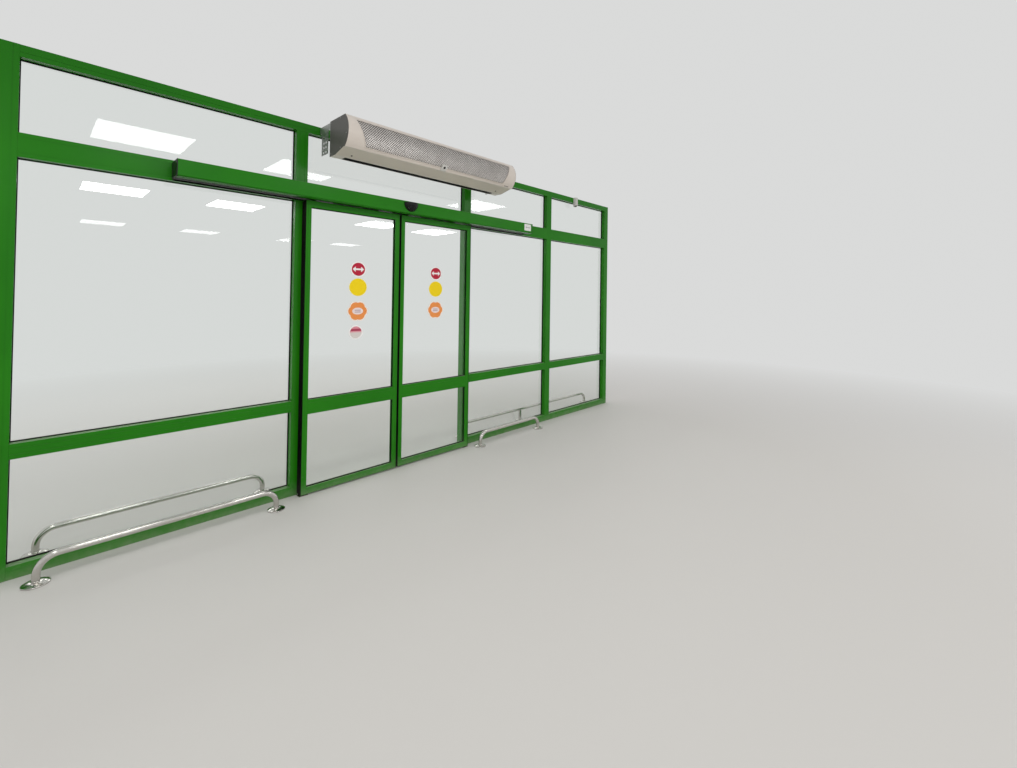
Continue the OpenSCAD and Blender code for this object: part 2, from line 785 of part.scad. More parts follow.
module guard_leg(x, y, turn) {
    translate([x, y, 0]) {
        rose();
        cylinder(h = tube_z - bend_r, r = tube_r);
        translate([turn * bend_r, 0, tube_z - bend_r])
            rotate([90, 0, 0]) rotate([0, 0, turn > 0 ? 90 : 0]) rotate_extrude(angle = 90)
                translate([bend_r, 0]) circle(tube_r);
    }
}

module guard(from, to, y) color(steel) {
    guard_leg(from, y, 1);
    guard_leg(to, y, -1);
    translate([from + bend_r, y, tube_z]) rotate([0, 90, 0])
        cylinder(h = to - from - 2 * bend_r, r = tube_r);
}

module front_left_guard() guard(left_l + guard_end, left_r - guard_left_gap, guard_y);
module front_right_guard() guard(side_l + guard_right_gap, side_r - guard_short, guard_y);
module back_left_guard() guard(left_l + guard_end, left_r - guard_end, -guard_y);
module back_right_guard() {
    guard(side_l + guard_end, end_r - guard_end, -guard_y);
    color(steel) translate([side_r - guard_mid_gap, -guard_y, 0]) {
        rose();
        cylinder(h = tube_z, r = tube_r);
    }
}

left_end_post();
left_jamb();
right_jamb();
sidelight_mullion();
right_end_post();
head_rail();
transom(BAYS[0], true);  // left_transom
transom(TOPLIGHTS[1], false);  // door_transom
transom(BAYS[1], true);  // sidelight_transom
transom(BAYS[2], true);  // end_transom
sills();
mid_rails();
bay_glass(BAYS[0]);  // left_bay_glass
bay_glass(BAYS[1]);  // sidelight_glass
bay_glass(BAYS[2]);  // end_bay_glass
toplight_glass();
bay_gaskets();
toplight_gaskets();
jamb_brushes();
floor_guides();
header_beam();
header_cover();
header_end_plates();
door_sensor();
drive_motor();
belt_idler();
drive_belt();
curtain_casing();
curtain_grille();
curtain_end_plates();
curtain_nozzle();
curtain_brackets();
curtain_receiver();
alarm_detector();
front_left_guard();
front_right_guard();
back_left_guard();
back_right_guard();
leaf_stiles();  // left_leaf_stiles
leaf_rails();  // left_leaf_rails
leaf_glass();  // left_leaf_glass
leaf_gaskets();  // left_leaf_gaskets
leaf_carriages(1);  // left_leaf_carriages
leaf_nose();  // left_leaf_nose
mirror_door() leaf_stiles();  // right_leaf_stiles
mirror_door() leaf_rails();  // right_leaf_rails
mirror_door() leaf_glass();  // right_leaf_glass
mirror_door() leaf_gaskets();  // right_leaf_gaskets
mirror_door() leaf_carriages(-1);  // right_leaf_carriages
mirror_door() leaf_nose();  // right_leaf_nose
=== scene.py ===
# %% [markdown]
# A glazed entrance screen with a pair of sliding doors, dressed in Blender.
# The solids were drawn in OpenSCAD and packed as a frame that stays where it is. This script gives
# them their finishes, puts finer surfaces in place of the soft or coarse ones, and sets up the floor,
# the light and the camera. Every length is in metres: X runs along the screen, -Y faces the room and
# Z is up, from the floor under the left door jamb, in the plane of the glass.

# %% Load the frame
import json

import bmesh
import bpy
import numpy as np
from mathutils import Matrix, Vector


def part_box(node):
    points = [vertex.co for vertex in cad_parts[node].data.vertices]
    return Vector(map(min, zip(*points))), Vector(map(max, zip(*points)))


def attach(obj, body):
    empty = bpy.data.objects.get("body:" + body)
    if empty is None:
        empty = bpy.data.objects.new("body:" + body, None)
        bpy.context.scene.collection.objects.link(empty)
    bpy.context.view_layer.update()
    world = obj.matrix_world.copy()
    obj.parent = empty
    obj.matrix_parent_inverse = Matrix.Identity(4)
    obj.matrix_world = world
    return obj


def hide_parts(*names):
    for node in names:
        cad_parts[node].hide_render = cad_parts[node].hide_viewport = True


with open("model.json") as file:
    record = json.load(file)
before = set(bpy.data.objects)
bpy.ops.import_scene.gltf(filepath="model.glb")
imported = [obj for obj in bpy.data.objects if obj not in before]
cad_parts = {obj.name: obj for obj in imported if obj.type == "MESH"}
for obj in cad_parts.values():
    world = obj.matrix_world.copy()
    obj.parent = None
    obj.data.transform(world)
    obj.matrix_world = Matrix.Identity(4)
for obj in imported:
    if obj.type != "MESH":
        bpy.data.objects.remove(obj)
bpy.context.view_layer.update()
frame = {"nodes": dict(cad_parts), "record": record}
nodes = frame["nodes"]

# %% [markdown]
# The camera comes first, because everything else is judged through it.
# A pinhole camera has a focal length in pixels, a point in the picture that its axis goes through and
# three turns. These were fitted to straight edges whose real places are known. Blender wants the same
# facts as a lens length, two shifts and a matrix whose columns are the camera's right, up and back.

# %% Camera
PICTURE_W = 1017
PICTURE_H = 768
FOCAL_PX = 455.74
AXIS_PX = (518.8, 289.6)
EYE = (-1.27742, -3.34530, 1.40800)
YAW = 0.818
PITCH = 0.013
ROLL = 0.014


def camera_turn(yaw, pitch, roll):
    """Columns right, up and back of a camera that looks along +Y, turned right by yaw, up by pitch
    and then about its own axis by roll."""
    ahead = np.array([np.sin(yaw) * np.cos(pitch), np.cos(yaw) * np.cos(pitch), np.sin(pitch)])
    right = np.array([np.cos(yaw), -np.sin(yaw), 0.0])
    up = np.cross(right, ahead)
    turned_right = np.cos(roll) * right + np.sin(roll) * up
    turned_up = np.cos(roll) * up - np.sin(roll) * right
    return np.stack([turned_right, turned_up, -ahead], axis=1)


camera_data = bpy.data.cameras.new("camera")
camera = bpy.data.objects.new("camera", camera_data)
bpy.context.scene.collection.objects.link(camera)
camera_data.lens = FOCAL_PX / PICTURE_W * camera_data.sensor_width
camera_data.shift_x = (PICTURE_W / 2 - AXIS_PX[0]) / PICTURE_W
camera_data.shift_y = (AXIS_PX[1] - PICTURE_H / 2) / PICTURE_W
camera.matrix_world = Matrix.LocRotScale(
    Vector(EYE), Matrix(camera_turn(YAW, PITCH, ROLL).tolist()), None)
bpy.context.scene.camera = camera
bpy.context.scene.view_settings.view_transform = "Standard"
print("camera lens", round(camera_data.lens, 2), "mm")

# %% [markdown]
# A material is a small calculation for each point of a surface. Written as boxes and wires it is hard
# to read, so one class wraps a node's output and lets Python's own operators add the Math nodes. All
# other nodes come from one method, which takes the node's type, its settings and its sockets' values.

# %% Shader maths
class Wire:
    """One output of a node. An operator on it adds the Math node that works the result out."""

    def __init__(self, graph, node, output):
        self.graph = graph
        self.node = node
        self.socket = pick(node.outputs, output) if len(node.outputs) else None

    def out(self, output):
        """Another output of the same node."""
        return Wire(self.graph, self.node, output)

    def maths(self, operation, *values):
        return self.graph.node("ShaderNodeMath", {"operation": operation}, dict(enumerate(values)))

    def __add__(self, other):
        return self.maths("ADD", self, other)

    def __radd__(self, other):
        return self.maths("ADD", other, self)

    def __sub__(self, other):
        return self.maths("SUBTRACT", self, other)

    def __rsub__(self, other):
        return self.maths("SUBTRACT", other, self)

    def __mul__(self, other):
        return self.maths("MULTIPLY", self, other)

    def __rmul__(self, other):
        return self.maths("MULTIPLY", other, self)

    def __truediv__(self, other):
        return self.maths("DIVIDE", self, other)

    def __pow__(self, other):
        return self.maths("POWER", self, other)

    def __abs__(self):
        return self.maths("ABSOLUTE", self)

    def cosine(self):
        return self.maths("COSINE", self)

    def most(self, other):
        """The larger of two values."""
        return self.maths("MAXIMUM", self, other)

    def fade(self, start, end):
        """0 at start, 1 at end and straight in between, whichever of the two is larger."""
        return self.graph.node("ShaderNodeMapRange", {"clamp": True},
                               {"Value": self, "From Min": start, "From Max": end})


def pick(sockets, key):
    """A node's socket by its position, its identifier or its name."""
    if isinstance(key, int):
        return sockets[key]
    return next((s for s in sockets if s.identifier == key), None) or sockets[key]


class Graph:
    """A node tree of a material or of the world."""

    def __init__(self, tree):
        self.tree = tree
        tree.nodes.clear()

    def node(self, kind, settings=None, sockets=None, output=0):
        made = self.tree.nodes.new(kind)
        for key, value in (settings or {}).items():
            setattr(made, key, value)
        for key, value in (sockets or {}).items():
            socket = pick(made.inputs, key)
            if isinstance(value, Wire):
                self.tree.links.new(value.socket, socket)
            else:
                socket.default_value = value
        return Wire(self, made, output)

    def blend(self, share, first, second):
        """The first shader where share is 0, the second where it is 1."""
        return self.node("ShaderNodeMixShader", None, {0: share, 1: first, 2: second})

    def seen_rays(self):
        """1 for rays that are seen straight, in a mirror or through glass."""
        path = self.node("ShaderNodeLightPath", output="Is Camera Ray")
        return path.most(path.out("Is Glossy Ray")).most(path.out("Is Transmission Ray"))


# %% [markdown]
# Most finishes here share the same helpers: where the point is, a cloud of soft noise, dust that lies
# on upward faces and close to the floor, and a mix of two colours. A Finish holds them with the
# Principled shader, whose constant values are set on its own sockets.

# %% The finish class
class Finish(Graph):
    """A material with one Principled shader. Plain values go straight to the shader's sockets."""

    def __init__(self, name, **plain):
        self.material = bpy.data.materials.new(name)
        self.material.use_nodes = True
        super().__init__(self.material.node_tree)
        self.shader = self.node("ShaderNodeBsdfPrincipled", None, {
            key.replace("_", " ").title().replace("Ior", "IOR"): value
            for key, value in plain.items()})
        self.output = self.node("ShaderNodeOutputMaterial", None, {"Surface": self.shader})

    def set(self, **wires):
        """Links wires to the shader's sockets."""
        for key, wire in wires.items():
            self.tree.links.new(wire.socket, self.shader.node.inputs[key.replace("_", " ").title()])

    def surface(self, shader):
        """Puts another shader in the Principled shader's place at the output."""
        self.tree.links.new(shader.socket, self.output.node.inputs["Surface"])

    def place(self):
        """The point in the object's own coordinates, which are the frame's metres."""
        return self.node("ShaderNodeTexCoord", output="Object")

    def split(self, vector):
        """A vector's three parts, the first of them; out("Y") and out("Z") give the others."""
        return self.node("ShaderNodeSeparateXYZ", None, {0: vector})

    def stretch(self, vector, scale):
        """The vector with each part multiplied by its own number."""
        return self.node("ShaderNodeMapping", None, {"Vector": vector, "Scale": scale})

    def noise(self, vector, scale, detail=2.0, roughness=0.5):
        return self.node("ShaderNodeTexNoise", None, {
            "Vector": vector, "Scale": scale, "Detail": detail, "Roughness": roughness})

    def mix(self, mask, first, second):
        """first where the mask is 0, second where it is 1, as colours."""
        colours = [(*c, 1.0) if isinstance(c, tuple) else c for c in (first, second)]
        return self.node("ShaderNodeMix", {"data_type": "RGBA"}, {
            "Factor_Float": mask, "A_Color": colours[0], "B_Color": colours[1]}, "Result_Color")

    def bump(self, height, distance, strength=1.0):
        """Lets a height in 0..1 stand out by distance metres."""
        return self.node("ShaderNodeBump", None, {
            "Height": height, "Distance": distance, "Strength": strength})

    def dust(self, place, reach):
        """How much dust lies on the point: on upward faces, and up to reach metres over the floor."""
        upward = self.split(self.node("ShaderNodeNewGeometry", output="Normal")).out("Z").fade(0.5, 0.95)
        low = self.split(place).out("Z").fade(reach, 0.0)
        patches = self.noise(place, 23.0, 4.0, 0.6).fade(0.25, 0.75)
        return upward.most(low * low) * (0.35 + 0.65 * patches)


# %% [markdown]
# The screen's aluminium is powder coated in a strong mid green. Powder coat is a thin plastic skin:
# its colour is even, its gloss is broken by a fine orange peel, and it keeps dust and light scuffs
# where feet and wheels pass. The dust is pale and dull, so it changes both colour and roughness.

# %% Powder coat
GREEN_LIGHT = (0.019, 0.226, 0.004)
GREEN_DEEP = (0.013, 0.180, 0.003)
DUST = (0.42, 0.39, 0.33)
PEEL_SCALE = 620.0
PEEL_DEPTH = 0.00012


def powder_coat(name, light, deep, low_dust, gloss):
    """Two close shades in a slow cloud, orange peel as bump, dust low down and scuffs near the floor."""
    coat = Finish(name, ior=1.42, specular_ior_level=0.24)
    place = coat.place()
    cloud = coat.noise(place, 1.6, 3.0).fade(0.3, 0.7)
    dust = coat.dust(place, low_dust)
    marks = coat.noise(coat.stretch(place, (9.0, 60.0, 60.0)), 3.0, 5.0, 0.62).fade(0.66, 0.72)
    scuffs = marks * coat.split(place).out("Z").fade(0.45, 0.05)
    painted = coat.mix(cloud, light, deep)
    coat.set(base_color=coat.mix(dust.most(scuffs * 0.8) * 0.38, painted, DUST),
             roughness=gloss + 0.07 * cloud + 0.25 * dust + 0.2 * scuffs,
             normal=coat.bump(coat.noise(place, PEEL_SCALE, 1.0), PEEL_DEPTH, 0.55))
    return coat.material


green_coat = powder_coat("green powder coat", GREEN_LIGHT, GREEN_DEEP, 0.13, 0.19)
print("made", green_coat.name)

# %% [markdown]
# The air curtain, its receiver and the detector are pale. The curtain's sheet metal is powder coated
# too, in an off-white that has gone a little warm, with grey dust on its upward faces. The end plates
# are a mid grey painted darker, as painted shade for the shade their faces lie in, and the header's
# end caps are black plastic with a fine moulded grain.

# %% Casing, plate and plastics
casing_white = powder_coat("white powder coat", (0.83, 0.755, 0.68), (0.735, 0.665, 0.60), 0.05, 0.26)
# The end plates' grey is painted dark: painted shade for their shaded faces.
plate_grey_with_painted_shade = powder_coat("grey powder coat", (0.125, 0.121, 0.112), (0.092, 0.089, 0.082), 0.05, 0.34)
GRAIN_SCALE = 1500.0


def moulded_plastic(name, colour, worn, gloss):
    """A plastic with a fine grain, two close shades and dust on top."""
    plastic = Finish(name, ior=1.46, specular_ior_level=0.3)
    place = plastic.place()
    dust = plastic.dust(place, 0.06)
    cloud = plastic.noise(place, 14.0, 3.0).fade(0.3, 0.7)
    plastic.set(base_color=plastic.mix(dust * 0.3, plastic.mix(cloud, colour, worn), DUST),
                roughness=gloss + 0.12 * cloud + 0.2 * dust,
                normal=plastic.bump(plastic.noise(place, GRAIN_SCALE, 2.0), 0.00008, 0.6))
    return plastic.material


black_plastic = moulded_plastic("black plastic", (0.006, 0.006, 0.006), (0.011, 0.011, 0.011), 0.30)
white_plastic = moulded_plastic("white plastic", (0.74, 0.73, 0.70), (0.66, 0.65, 0.61), 0.32)
smoked_window = moulded_plastic("smoked window", (0.003, 0.003, 0.004), (0.005, 0.005, 0.006), 0.05)
red_lens = moulded_plastic("red lens", (0.30, 0.010, 0.012), (0.22, 0.008, 0.010), 0.12)
grey_filter = moulded_plastic("grey filter cloth", (0.115, 0.104, 0.096), (0.165, 0.150, 0.138), 0.75)
print("made the casing's finishes")

# %% [markdown]
# The panes are clear float glass, faintly green. A Principled shader with full transmission bends and
# reflects light as glass does, but its shadow would be too dark without costly light paths, so a
# shadow ray sees a Transparent shader instead. Hands leave faint smudges, which are only a little
# roughness in soft patches.

# %% Glass
GLASS_TINT = (0.955, 0.982, 0.966, 1.0)


def clear_glass():
    """Principled glass for what is seen, a tinted Transparent shader for shadow rays."""
    glass = Finish("clear glass", base_color=GLASS_TINT, ior=1.5, transmission_weight=1.0)
    place = glass.place()
    smudges = glass.noise(place, 3.1, 5.0, 0.6).fade(0.55, 0.8)
    streaks = glass.noise(glass.stretch(place, (7.0, 7.0, 1.2)), 2.0, 4.0, 0.6).fade(0.6, 0.85)
    glass.set(roughness=0.035 * smudges.most(streaks * 0.6))
    shadow = glass.node("ShaderNodeLightPath", output="Is Shadow Ray")
    see_through = glass.node("ShaderNodeBsdfTransparent", None, {"Color": (0.90, 0.945, 0.915, 1.0)})
    glass.surface(glass.blend(shadow, glass.shader, see_through))
    return glass.material


pane_glass = clear_glass()
print("made", pane_glass.name)

# %% [markdown]
# The glazing rubber, the bulb seals and the brushes are black and dull. Rubber greys where it is
# rubbed and holds dust low down. The brush piles are nylon, a touch shinier along each fibre.

# %% Rubber and brushes
def black_rubber():
    """A near-black with grey bloom in patches, and a matt, faintly wrinkled skin."""
    matt = Finish("black rubber", ior=1.3, specular_ior_level=0.2)
    place = matt.place()
    bloom = matt.noise(place, 35.0, 4.0, 0.6).fade(0.35, 0.8)
    dust = matt.dust(place, 0.3)
    dark = matt.mix(bloom, (0.0015, 0.0015, 0.0015), (0.006, 0.006, 0.006))
    matt.set(base_color=matt.mix(dust * 0.12, dark, DUST),
             roughness=0.55 + 0.2 * bloom,
             normal=matt.bump(matt.noise(place, 900.0, 2.0), 0.00008, 0.5))
    return matt.material


def brush_fibre():
    """Nylon fibres, lighter at random from tuft to tuft."""
    fibre = Finish("brush fibre", ior=1.5)
    place = fibre.place()
    lighter = fibre.noise(fibre.stretch(place, (40.0, 8.0, 300.0)), 2.0, 2.0).fade(0.3, 0.7)
    fibre.set(base_color=fibre.mix(lighter, (0.010, 0.010, 0.010), (0.045, 0.043, 0.040)),
              roughness=0.42 + 0.2 * lighter)
    return fibre.material


rubber_black = black_rubber()
fibre_black = brush_fibre()
print("made the rubber and the brush fibre")

# %% [markdown]
# Three bare metals show. The guard rails are polished stainless tube, with a fine grain that follows
# the tube, so they read the pieces' own UV map: u runs along the tube and v round it, in metres. The
# track beam is extruded aluminium with long die lines, its colour painted darker than bare aluminium
# as painted shade, since its underside lies in shadow; the brackets are zinc-plated sheet with a
# spangle of flat crystals. The intake mesh is aluminium, dulled by the dust that it catches.

# %% Bare metals
def polished_steel():
    """Grain as noise drawn out along u, water marks low down."""
    steel = Finish("polished stainless steel", metallic=1.0)
    grain_place = steel.stretch(steel.node("ShaderNodeUVMap"), (14.0, 900.0, 1.0))
    grain = steel.noise(grain_place, 2.0, 3.0, 0.6)
    place = steel.place()
    marks = steel.noise(place, 26.0, 5.0, 0.65).fade(0.5, 0.75)
    low = steel.split(place).out("Z").fade(0.12, 0.0)
    steel.set(base_color=steel.mix(marks * 0.4 + low * 0.3, (0.64, 0.62, 0.585), (0.36, 0.345, 0.315)),
              roughness=0.055 + 0.07 * grain + 0.09 * marks + 0.07 * low,
              normal=steel.bump(grain, 0.00002, 0.4))
    return steel.material


def extruded_metal(name, bright, dull, rough):
    """Die lines as noise drawn out along X, in roughness and bump; a slow cloud and dust in colour."""
    metal = Finish(name, metallic=1.0)
    place = metal.place()
    lines = metal.noise(metal.stretch(place, (1.5, 400.0, 400.0)), 1.0, 3.0, 0.6)
    cloud = metal.noise(place, 9.0, 4.0).fade(0.3, 0.75)
    dust = metal.dust(place, 0.05)
    metal.set(base_color=metal.mix(dust * 0.3, metal.mix(cloud, bright, dull), DUST),
              roughness=rough + 0.14 * lines + 0.15 * cloud,
              normal=metal.bump(lines, 0.00005, 0.6))
    return metal.material


def zinc_plate():
    """Flat crystals of slightly different shade and shine from cell to cell."""
    zinc = Finish("zinc plate", metallic=1.0)
    place = zinc.place()
    crystals = zinc.node("ShaderNodeTexVoronoi", None, {"Vector": place, "Scale": 130.0}, "Color")
    shade = zinc.split(crystals)
    rust = zinc.noise(place, 45.0, 4.0, 0.65).fade(0.62, 0.8)
    zinc.set(base_color=zinc.mix(rust * 0.25, zinc.mix(shade, (0.50, 0.50, 0.49), (0.35, 0.35, 0.345)),
                                 (0.33, 0.24, 0.16)),
             roughness=0.42 + 0.16 * shade.out("Y") + 0.2 * rust)
    return zinc.material


steel_polished = polished_steel()
# The beam's two shades are painted dark: painted shade for the shadow its underside lies in.
beam_metal_with_painted_shade = extruded_metal("extruded aluminium", (0.52, 0.52, 0.51), (0.38, 0.38, 0.375), 0.28)
mesh_metal = extruded_metal("intake mesh metal", (0.93, 0.885, 0.85), (0.80, 0.76, 0.73), 0.40)
zinc_steel = zinc_plate()
print("made the bare metals")

# %% [markdown]
# Each solid of the frame that stays visible now gets its finish. The record says which finish each
# node has, by a slot name, so one table from slot to material is enough.

# %% Dress the frame's nodes
SLOT_FINISH = {
    "green_frame": green_coat, "clear_glass": pane_glass, "black_rubber": rubber_black,
    "bare_aluminium": beam_metal_with_painted_shade, "stainless": steel_polished, "zinc_steel": zinc_steel,
    "white_casing": casing_white, "grey_plate": plate_grey_with_painted_shade, "silver_mesh": mesh_metal,
    "black_plastic": black_plastic, "white_plastic": white_plastic}
for row in frame["record"]["subparts"]:
    for holder in nodes[row["node"]].material_slots:
        holder.material = SLOT_FINISH[row["material_slot"]]
print("dressed", len(nodes), "nodes in", len(SLOT_FINISH), "finishes")

# %% [markdown]
# New pieces are surfaces worked out with numpy. A shape is a grid of points: point (i, j) is joined to
# its neighbours (i+1, j) and (i, j+1). Where a surface closes on itself, the last row or column
# repeats the first, and a pole is a row whose points all lie together. Doubles are merged in the mesh
# afterwards, which closes seams and poles but leaves the UV map as it was.

# %% Grids to meshes
MERGE = 0.000001
SHARP = np.radians(38.0)
INWARDS = -1.0


def grid(points, u=None, v=None):
    """Vertices, faces and corner UVs of a grid of points, rows by columns by 3."""
    rows, columns = points.shape[:2]
    u = np.zeros(rows) if u is None else u
    v = np.zeros(columns) if v is None else v
    index = np.arange(rows * columns).reshape(rows, columns)
    faces = np.stack([index[:-1, :-1], index[1:, :-1], index[1:, 1:], index[:-1, 1:]], -1).reshape(-1, 4)
    plane = np.stack(np.broadcast_arrays(u[:, None], v[None, :]), -1).reshape(-1, 2)
    return points.reshape(-1, 3), faces, plane[faces]


def join(shapes):
    """Several shapes as one: vertices stacked, face numbers moved on by the vertices before them."""
    starts = np.cumsum([0] + [len(shape[0]) for shape in shapes[:-1]])
    return (np.concatenate([shape[0] for shape in shapes]),
            np.concatenate([shape[1] + start for shape, start in zip(shapes, starts)]),
            np.concatenate([shape[2] for shape in shapes]))


def piece(name, shape, material, body, replaces=(), closed=True):
    """Makes an object from a shape, merges its doubles, turns closed shells outwards and rides it."""
    points, faces, plane = shape
    mesh = bpy.data.meshes.new(name)
    mesh.from_pydata(points.tolist(), [], faces.tolist())
    layer = mesh.uv_layers.new(name="UVMap")
    layer.data.foreach_set("uv", plane.reshape(-1))
    work = bmesh.new()
    work.from_mesh(mesh)
    bmesh.ops.remove_doubles(work, verts=work.verts, dist=MERGE)
    if closed:
        bmesh.ops.recalc_face_normals(work, faces=work.faces)
    work.to_mesh(mesh)
    work.free()
    mesh.shade_smooth()
    mesh.set_sharp_from_angle(angle=SHARP)
    mesh.materials.append(material)
    made = bpy.data.objects.new(name, mesh)
    bpy.context.scene.collection.objects.link(made)
    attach(made, body)
    if replaces:
        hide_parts(*replaces)
    print(name, len(mesh.polygons), "faces")
    return made


def sheet(name, shape, material, body, thickness, replaces=(), offset=0.0):
    """Makes a piece of an open surface. A Solidify modifier gives it its wall: half on each side, or
    all on the side that offset names."""
    made = piece(name, shape, material, body, replaces, closed=False)
    wall = made.modifiers.new("wall", "SOLIDIFY")
    wall.thickness = thickness
    wall.offset = offset


def lengths(path):
    """Distance along a path at each of its points."""
    steps = np.linalg.norm(np.diff(path, axis=0), axis=1)
    return np.concatenate([[0.0], np.cumsum(steps)])


def carried(profile, axis, start, end):
    """An open profile of pairs carried straight along an axis: the pairs are the other two axes."""
    rows = np.linspace(start, end, 3)
    points = np.empty((rows.size, len(profile), 3))
    points[..., axis] = rows[:, None]
    points[..., [i for i in range(3) if i != axis]] = profile
    return grid(points, rows, lengths(profile))


# %% [markdown]
# The panes sit in rubber. The solids have it as square channels, but a real glazing rubber is a wedge
# that is pushed in beside the glass, with a rounded lip that covers the joint. One closed profile,
# carried round the four corners of each opening, gives the wedge; the corners are mitred because the
# profile's distance from the edge is laid off along both sides at once.

# %% Glazing rubber
GLASS_HALF = 0.004
GROOVE_HALF = 0.009
LIP = 0.004
LEAF_MID = (0.562, 0.662)
LEAF_BOTTOM_TOP = 0.055
LEAF_TOP_RAIL = 0.047
ROOT_DEEP = 0.009
SHOULDER = 0.002
SHOULDER_OUT = 0.0008
HEEL = 0.0005


def lip_profile(side):
    """A wedge between glass and groove: pairs of distance into the opening and distance from the
    pane's middle, on the side asked for. The lip is a half round that leans on the glass."""
    turn = np.linspace(-0.5, 1.0, 9) * np.pi / 2
    wide = (GROOVE_HALF - GLASS_HALF) / 2
    nose = np.stack([LIP - wide + wide * np.cos(turn), GLASS_HALF + wide + wide * np.sin(turn)], 1)
    root = np.array([[-SHOULDER / 2, GROOVE_HALF + SHOULDER_OUT], [-SHOULDER, GROOVE_HALF],
                     [-ROOT_DEEP, GROOVE_HALF], [-ROOT_DEEP, GLASS_HALF], [nose[0, 0] - HEEL, GLASS_HALF]])
    profile = np.concatenate([nose, root, nose[:1]])
    profile[:, 1] *= side
    return profile


def rubber_ring(opening, middle, side):
    """The profile carried round an opening (left, right, low, high) whose pane's middle is at y."""
    left, right, low, high = opening
    corners = np.array([[left, low], [right, low], [right, high], [left, high], [left, low]])
    inward = np.array([[1, 1], [-1, 1], [-1, -1], [1, -1], [1, 1]])
    profile = lip_profile(side)
    flat = corners[:, None, :] + inward[:, None, :] * profile[None, :, :1]
    depth = np.broadcast_to(middle + profile[None, :, 1], flat.shape[:2])
    points = np.stack([flat[..., 0], depth, flat[..., 1]], -1)
    return grid(points, lengths(corners), lengths(profile))


def rubber(name, openings, middle, body, replaced):
    """One piece with both sides' rings of every opening."""
    rings = [rubber_ring(opening, middle, side) for opening in openings for side in (-1, 1)]
    return piece(name, join(rings), rubber_black, body, [replaced])


def span(left_node, right_node):
    """The clear width between two posts."""
    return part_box(left_node)[1].x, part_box(right_node)[0].x


bays = [span("left_end_post", "left_jamb"), span("right_jamb", "sidelight_mullion"),
        span("sidelight_mullion", "right_end_post")]
doorway = span("left_jamb", "right_jamb")
mid_low, mid_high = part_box("mid_rails")[0].z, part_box("mid_rails")[1].z
transom_low, transom_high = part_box("left_transom")[0].z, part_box("left_transom")[1].z
sill_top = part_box("sills")[1].z
head_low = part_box("head_rail")[0].z
bay_openings = [(*bay, low, high) for bay in bays
                for low, high in ((sill_top, mid_low), (mid_high, transom_low))]
toplights = [(*bay, transom_high, head_low) for bay in (*bays, doorway)]
rubber("bay_rubber", bay_openings, 0.0, "screen", "bay_gaskets")
rubber("toplight_rubber", toplights, 0.0, "screen", "toplight_gaskets")
for side in ("left", "right"):
    low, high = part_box(side + "_leaf_rails")
    leaf_middle = (low.y + high.y) / 2
    leaf_openings = [(low.x, high.x, LEAF_BOTTOM_TOP, LEAF_MID[0]),
                     (low.x, high.x, LEAF_MID[1], high.z - LEAF_TOP_RAIL)]
    rubber(side + "_leaf_rubber", leaf_openings, leaf_middle, side + "_leaf", side + "_leaf_gaskets")

# %% [markdown]
# The leaves meet in two soft bulb seals, one on each stile. A bulb is a rounded hollow profile, so it
# is a half oval that stands out of the stile, pressed flat where it is clipped in. The surface is that
# profile carried straight up, with both ends closed by a pole. A shallow dent runs along its middle. It
# reaches the line where the leaves meet, so no light shows between them. Each bulb sits on a flat rubber
# base that covers the side of its stile and turns a few millimetres round the front corner.

# %% Bulb seals where the leaves meet
BASE_T = 0.0012
BASE_LIP = 0.003
MEETING_PLAY = 0.0003
BULB_POWER = 0.7
DENT_DEEP = 0.18
DENT_WIDE = 0.16
meeting_x = (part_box("left_leaf_nose")[1].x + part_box("right_leaf_nose")[0].x) / 2


def with_ends(points):
    """A tube of points with a pole in the middle of each end ring, which closes it."""
    first = np.repeat(points[:1, :-1].mean(1, keepdims=True), points.shape[1], 1)
    last = np.repeat(points[-1:, :-1].mean(1, keepdims=True), points.shape[1], 1)
    return np.concatenate([first, points, last])


def bulb(box_low, box_high, toward):
    """A flattened half oval as deep as the box, carried up z. It stands out of the stile, along x,
    to the line where the leaves meet."""
    turn = np.linspace(0.0, np.pi, 15)
    depth = (box_high.y - box_low.y) / 2
    root = box_low.x if toward > 0 else box_high.x
    out = abs(meeting_x - root) - MEETING_PLAY / 2
    dent = DENT_DEEP * np.exp(-((turn - np.pi / 2) / DENT_WIDE) ** 2)
    stand = np.sin(turn) ** BULB_POWER * (1 - dent)
    middle_y = (box_low.y + box_high.y) / 2
    oval_x = np.append(root + toward * out * stand / stand.max(), root)
    oval_y = np.append(middle_y - depth * np.cos(turn), middle_y - depth)
    height = np.linspace(box_low.z, box_high.z, 3)
    points = np.stack(np.broadcast_arrays(oval_x[None, :], oval_y[None, :], height[:, None]), -1)
    return grid(with_ends(points))


for side, toward in (("left", 1), ("right", -1)):
    low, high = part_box(side + "_leaf_nose")
    piece(side + "_leaf_bulb", bulb(low, high, toward), rubber_black, side + "_leaf",
          [side + "_leaf_nose"])
    stile_low, stile_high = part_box(side + "_leaf_stiles")
    root_x = low.x if toward > 0 else high.x
    base = np.array([(root_x - toward * BASE_LIP, stile_low.y - BASE_T / 2),
                     (root_x + toward * BASE_T / 2, stile_low.y - BASE_T / 2),
                     (root_x + toward * BASE_T / 2, stile_high.y)])
    sheet(side + "_leaf_bulb_base", carried(base, 2, low.z, high.z), rubber_black, side + "_leaf",
          BASE_T)

# %% [markdown]
# The outer side of each leaf carries a ribbed rubber strip that wipes along the jamb, with a lip round
# the front corner; where it is seen, in the gap at the left jamb, its black is partly painted shade for
# that gap. Under the header a folded green plate closes the cover, a black strip of the same ribbed
# kind follows it towards the leaves, and a plain black one covers the line over the glass, partly a
# seal and partly painted shade for that narrow dark line. All are open profiles carried straight on:
# the ribs are a rounded sine of the distance, and a Solidify modifier gives the sheet its wall.

